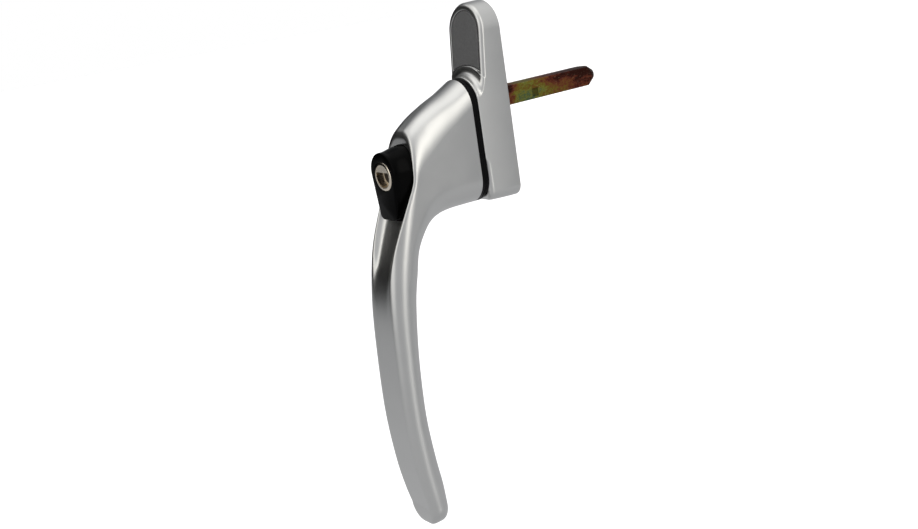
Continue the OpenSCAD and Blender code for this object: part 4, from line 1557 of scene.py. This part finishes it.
@dataclass
class DetentSprings:
    """The two coil springs that press the detent balls against the journal.

    Attributes:
        coil_r: radius of the coil at the wire's middle.
        wire_r: radius of the wire.
        turns: turns of the pressed spring.
        start: distance of its first turn from the spindle's axis.
        length: its length as pressed.
        depth: depth of the cross bore that holds both.
    """

    coil_r: float = 1.175
    wire_r: float = 0.175
    turns: float = 4.0
    start: float = 9.78
    length: float = 2.6
    depth: float = 6.5

    def coil(self, tree: Tree, sizes: Sockets) -> Node:
        """Winds one spring and sets it on either side of the axis.

        Args:
            tree: the Geometry Nodes tree.
            sizes: the tree's inputs.

        Returns:
            Both springs.
        """
        helix = add_node(tree, "GeometryNodeCurveSpiral", {
            "Resolution": 32, "Rotations": self.turns, "Start Radius": sizes["Coil radius"],
            "End Radius": sizes["Coil radius"], "Height": sizes["Length"]})
        wire = add_node(tree, "GeometryNodeCurvePrimitiveCircle", {
            "Resolution": 12, "Radius": sizes["Wire radius"]})
        spring = add_node(tree, "GeometryNodeCurveToMesh", {
            "Curve": helix, "Profile Curve": wire, "Fill Caps": True})
        out = add_node(tree, "ShaderNodeCombineXYZ", {"Z": sizes["Start"]})
        placed = add_node(tree, "GeometryNodeTransform", {"Geometry": spring, "Translation": out})
        bore = add_node(tree, "ShaderNodeCombineXYZ", {"Y": sizes["Depth"]})
        sides = add_node(tree, "GeometryNodeMeshLine", {
            "Count": 2, "Start Location": bore, "Offset": (0.0, 0.0, 0.0)})
        half_turn = add_node(tree, "ShaderNodeMath", {
            0: add_node(tree, "GeometryNodeInputIndex"), 1: math.pi}, operation="MULTIPLY")
        turn = add_node(tree, "ShaderNodeCombineXYZ", {"Y": half_turn})
        return add_node(tree, "GeometryNodeInstanceOnPoints", {
            "Points": sides, "Instance": placed, "Rotation": turn})

    def build(self) -> Piece:
        """Makes both springs.

        Returns:
            The piece, riding on the base.
        """
        piece = grow_piece("detent_coils", SPRING_STEEL, self.coil, {
            "Coil radius": self.coil_r, "Wire radius": self.wire_r, "Length": self.length,
            "Start": self.start, "Depth": -self.depth})
        return finish_piece(piece, SPRING_STEEL, Body.BASE, "detent_springs")


@dataclass
class HiddenParts:
    """The small CAD parts inside the handle, which keep their meshes and get their finishes here.

    Attributes:
        finishes: the finish of each node.
    """

    finishes: dict[str, Finish] = field(default_factory=lambda: {
        "thrust_washer": WHITE_ACETAL, "wave_washer": SPRING_STEEL, "retaining_ring": PHOSPHATED_STEEL,
        "detent_balls": GROUND_STEEL, "spindle_pin": SPRING_STEEL, "button_spring": SPRING_STEEL,
        "lock_bolt": GROUND_STEEL, "bolt_clip": PHOSPHATED_STEEL, "wafers": STAMPED_BRASS,
        "lock_cam": GROUND_STEEL, "cam_clip": PHOSPHATED_STEEL})

    def dress(self, nodes: dict[str, Piece]) -> None:
        """Puts each part's finish on all its material slots.

        Args:
            nodes: the CAD nodes by name.
        """
        for name, finish in self.finishes.items():
            slots = nodes[name].data.materials
            if not slots:
                slots.append(finish.build())
            for index in range(len(slots)):
                slots[index] = finish.build()
            LOG.info("%s: %s", name, finish.name)


@dataclass(frozen=True)
class Panel:
    """A soft-edged panel of the room's light, placed by direction from the handle.

    Attributes:
        turn: degrees to the front of the right-hand side, at its centre.
        height: degrees above level, at its centre.
        half_turn: half of its width in degrees.
        half_height: half of its height in degrees.
        soft: degrees over which its edges fade.
        light: brightness that it adds, or for a shade the share of light that it takes away.
        shade: whether the panel is black card, which takes light away.
    """

    turn: float
    height: float
    half_turn: float
    half_height: float
    soft: float
    light: float
    shade: bool = False

    def add_to(self, tree: Tree, turn: Node, height: Node, light: Node) -> Node:
        """Adds the panel to the light that is already there.

        Args:
            tree: the world's tree.
            turn: direction's degrees to the front of the right-hand side.
            height: direction's degrees above level.
            light: brightness so far.

        Returns:
            The brightness with the panel.
        """
        spans = []
        for value, centre, half in (
                (turn, self.turn, self.half_turn), (height, self.height, self.half_height)):
            off = add_node(tree, "ShaderNodeMath", {0: value, 1: centre}, operation="SUBTRACT")
            off = add_node(tree, "ShaderNodeMath", {0: off, 1: 180.0, 2: -180.0}, operation="WRAP")
            off = add_node(tree, "ShaderNodeMath", {0: off}, operation="ABSOLUTE")
            spans.append(add_node(tree, "ShaderNodeMapRange", {
                "Value": off, "From Min": half - self.soft / 2, "From Max": half + self.soft / 2,
                "To Min": 1.0, "To Max": 0.0}, interpolation_type="SMOOTHSTEP"))
        inside = add_node(tree, "ShaderNodeMath", {0: spans[0], 1: spans[1]}, operation="MULTIPLY")
        if not self.shade:
            return add_node(tree, "ShaderNodeMath", {0: inside, 1: self.light, 2: light},
                            operation="MULTIPLY_ADD")
        left = add_node(tree, "ShaderNodeMath", {0: inside, 1: -self.light, 2: 1.0},
                        operation="MULTIPLY_ADD")
        return add_node(tree, "ShaderNodeMath", {0: light, 1: left}, operation="MULTIPLY")


@dataclass
class Studio:
    """The camera at the photograph's angle, a pale floor and soft light.

    Attributes:
        turn: degrees that the camera stands to the right of straight ahead.
        height: degrees that it stands above level.
        roll: degrees by which it is turned about its own axis.
        distance: distance to the point aimed at.
        aim: the point aimed at, in x, y and z.
        floor_z: height of the floor.
        floor_half: half of the floor's length and width.
        levels: the room's brightness at heights in degrees, before the panels.
        most: brightness that the levels and tints are shares of.
        tints: the light's colour from dim to bright.
        panels: the soft lights and the black card round the handle.
        lamp_aim: the point at which the lamp overhead is aimed.
        lamp_way: direction from that point to the lamp.
        lamp_distance: distance from that point to the lamp.
        lamp_size: width of the square lamp.
        lamp_power: its power in watts.
    """

    turn: float = 55.6
    height: float = 14.6
    roll: float = 8.53
    distance: float = 470.0
    aim: tuple[float, float, float] = (-7.6, -20.0, -58.3)
    floor_z: float = -175.0
    floor_half: float = 3000.0
    levels: tuple[tuple[float, float], ...] = (
        (-60.0, 0.58), (-35.0, 0.62), (-15.0, 0.58), (5.0, 0.58), (25.0, 0.72), (45.0, 0.80), (60.0, 0.95),
        (78.0, 1.25))
    most: float = 2.0
    tints: tuple[tuple[float, str], ...] = (
        (0.1, "#F6FAFF"), (0.3, "#FBFCFF"), (0.5, "#FFFFFF"), (0.8, "#FFFDF8"))
    panels: tuple[Panel, ...] = (
        Panel(-8.0, 24.0, 9.0, 32.0, 8.0, 1.85),
        Panel(-26.0, -7.0, 4.0, 6.0, 5.0, 0.25),
        Panel(-8.0, -27.0, 14.0, 14.0, 14.0, 0.30),
        Panel(84.0, 17.0, 21.0, 23.0, 10.0, 0.60),
        Panel(100.0, 26.0, 9.0, 18.0, 8.0, 0.50),
        Panel(-38.5, -9.0, 8.5, 9.0, 8.0, 0.40, True),
        Panel(120.0, 48.0, 40.0, 12.0, 14.0, 0.30),
        Panel(154.5, 13.0, 47.5, 21.0, 9.0, 1.0, True),
        Panel(195.0, 34.0, 30.0, 24.0, 20.0, 0.6, True))
    lamp_aim: tuple[float, float, float] = (0.0, -30.0, -60.0)
    lamp_way: tuple[float, float, float] = (0.1, -0.1, 1.0)
    lamp_distance: float = 900.0
    lamp_size: float = 600.0
    lamp_power: float = 0.4

    def axes(self) -> tuple[Vector, Vector, Vector]:
        """Gives the camera's right, up and backward directions.

        Returns:
            The three directions.
        """
        a, e, r = (math.radians(v) for v in (self.turn, self.height, self.roll))
        back = Vector((math.sin(a) * math.cos(e), -math.cos(a) * math.cos(e), math.sin(e)))
        right = Vector((math.cos(a), math.sin(a), 0.0))
        up = back.cross(right)
        return (right * math.cos(r) - up * math.sin(r), right * math.sin(r) + up * math.cos(r), back)

    def add_camera(self) -> None:
        """Adds the camera, with a 50 mm lens on a 36 mm sensor."""
        right, up, back = self.axes()
        data = bpy.data.cameras.new("camera")
        data.lens, data.sensor_width = 50.0, 36.0
        data.clip_start, data.clip_end = 0.01, 20.0
        camera = link_object("camera", data)
        place = (Vector(self.aim) + back * self.distance) * MM
        camera.matrix_world = Matrix.Translation(place) @ Matrix((right, up, back)).transposed().to_4x4()
        bpy.context.scene.camera = camera

    def add_lamp(self) -> None:
        """Adds the soft square lamp overhead."""
        data = bpy.data.lights.new("top", "AREA")
        data.shape, data.size, data.energy = "SQUARE", self.lamp_size * MM, self.lamp_power
        away = Vector(self.lamp_way).normalized()
        place = (Vector(self.lamp_aim) + away * self.lamp_distance) * MM
        turn = away.to_track_quat("Z", "Y").to_matrix().to_4x4()
        link_object("top", data).matrix_world = Matrix.Translation(place) @ turn

    def add_floor(self) -> None:
        """Adds the floor: pure white to the camera, with the shadow's shade left on it."""
        side = self.floor_half * MM
        mesh = bpy.data.meshes.new("floor")
        mesh.from_pydata([(x * side, y * side, self.floor_z * MM) for x, y in (
            (-1, -1), (1, -1), (1, 1), (-1, 1))], [], [[0, 1, 2, 3]])
        material = bpy.data.materials.new("white_paper_floor")
        tree = empty_tree(material)
        place = add_node(tree, "ShaderNodeTexCoord").outputs["Object"]
        fibre = add_node(tree, "ShaderNodeTexNoise", {
            "Vector": place, "Scale": per_metre(3.0), "Detail": 4.0})
        bump = add_node(tree, "ShaderNodeBump", {"Height": fibre, "Distance": 0.02 * MM, "Strength": 0.4})
        tone = add_node(tree, "ShaderNodeValToRGB", {"Fac": fibre}, stops=(
            (0.3, grey(0.80)), (0.7, grey(0.82))))
        paper = add_node(tree, "ShaderNodeBsdfPrincipled", {
            "Base Color": tone, "Roughness": 0.9, "Normal": bump})
        glow = add_node(tree, "ShaderNodeEmission", {"Color": grey(1.0), "Strength": 0.55})
        rays = add_node(tree, "ShaderNodeLightPath").outputs
        lit = add_node(tree, "ShaderNodeAddShader", {0: paper, 1: glow})
        seen = add_node(tree, "ShaderNodeMixShader", {0: rays["Is Camera Ray"], 1: paper, 2: lit})
        # Reflections pass the floor and meet the room's lower light, which is drawn as panels
        clear = add_node(tree, "ShaderNodeBsdfTransparent")
        mixed = add_node(tree, "ShaderNodeMixShader", {0: rays["Is Glossy Ray"], 1: seen, 2: clear})
        add_node(tree, "ShaderNodeOutputMaterial", {"Surface": mixed})
        mesh.materials.append(material)
        link_object("floor", mesh)

    def add_world(self) -> None:
        """Adds the room's light as panels round the handle, and pure white for the camera alone."""
        world = bpy.data.worlds.new("studio")
        bpy.context.scene.world = world
        tree = empty_tree(world)
        way = add_node(tree, "ShaderNodeSeparateXYZ", {
            "Vector": add_node(tree, "ShaderNodeTexCoord").outputs["Generated"]}).outputs
        front = add_node(tree, "ShaderNodeMath", {0: way["Y"], 1: -1.0}, operation="MULTIPLY")
        turn, height = (add_node(tree, "ShaderNodeMath", {0: angle}, operation="DEGREES") for angle in (
            add_node(tree, "ShaderNodeMath", {0: front, 1: way["X"]}, operation="ARCTAN2"),
            add_node(tree, "ShaderNodeMath", {0: way["Z"]}, operation="ARCSINE")))
        share = add_node(tree, "ShaderNodeMapRange", {"Value": height, "From Min": -90.0, "From Max": 90.0})
        light = add_node(tree, "ShaderNodeMath", {
            0: add_node(tree, "ShaderNodeValToRGB", {"Fac": share}, stops=[
                ((high + 90) / 180, grey(level / self.most)) for high, level in self.levels]),
            1: self.most}, operation="MULTIPLY")
        for panel in self.panels:
            light = panel.add_to(tree, turn, height, light)
        # Bright panels are a little warm and the dim room is a little cool
        share = add_node(tree, "ShaderNodeMath", {0: light, 1: self.most}, operation="DIVIDE")
        tint = add_node(tree, "ShaderNodeValToRGB", {"Fac": share}, stops=[
            (at, linear(code)) for at, code in self.tints])
        room = add_node(tree, "ShaderNodeBackground", {"Strength": light, "Color": tint})
        white = add_node(tree, "ShaderNodeBackground", {"Color": grey(1.0), "Strength": 1.0})
        seen = add_node(tree, "ShaderNodeLightPath").outputs["Is Camera Ray"]
        add_node(tree, "ShaderNodeOutputWorld", {
            "Surface": add_node(tree, "ShaderNodeMixShader", {0: seen, 1: room, 2: white})})

    def build(self) -> None:
        """Sets the whole studio up."""
        bpy.context.scene.view_settings.view_transform = "Standard"
        self.add_camera()
        self.add_floor()
        self.add_world()
        self.add_lamp()


def main() -> None:
    """Builds and dresses the handle, then sets the studio up."""
    logging.basicConfig(level=logging.INFO, format="%(message)s")
    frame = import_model()
    plate, button = BasePlate(), PushButton()
    for build in (plate.build, ScrewCover(plate).build, FootPlate().build, Lever(button).build,
                  button.build_button, button.build_barrel, button.build_plug, Spindle().build,
                  DetentSprings().build):
        piece = build()
        LOG.info("%s: %d faces", piece.name, len(piece.data.polygons))
    HiddenParts().dress(frame["nodes"])
    Studio().build()


if __name__ == "__main__":
    main()
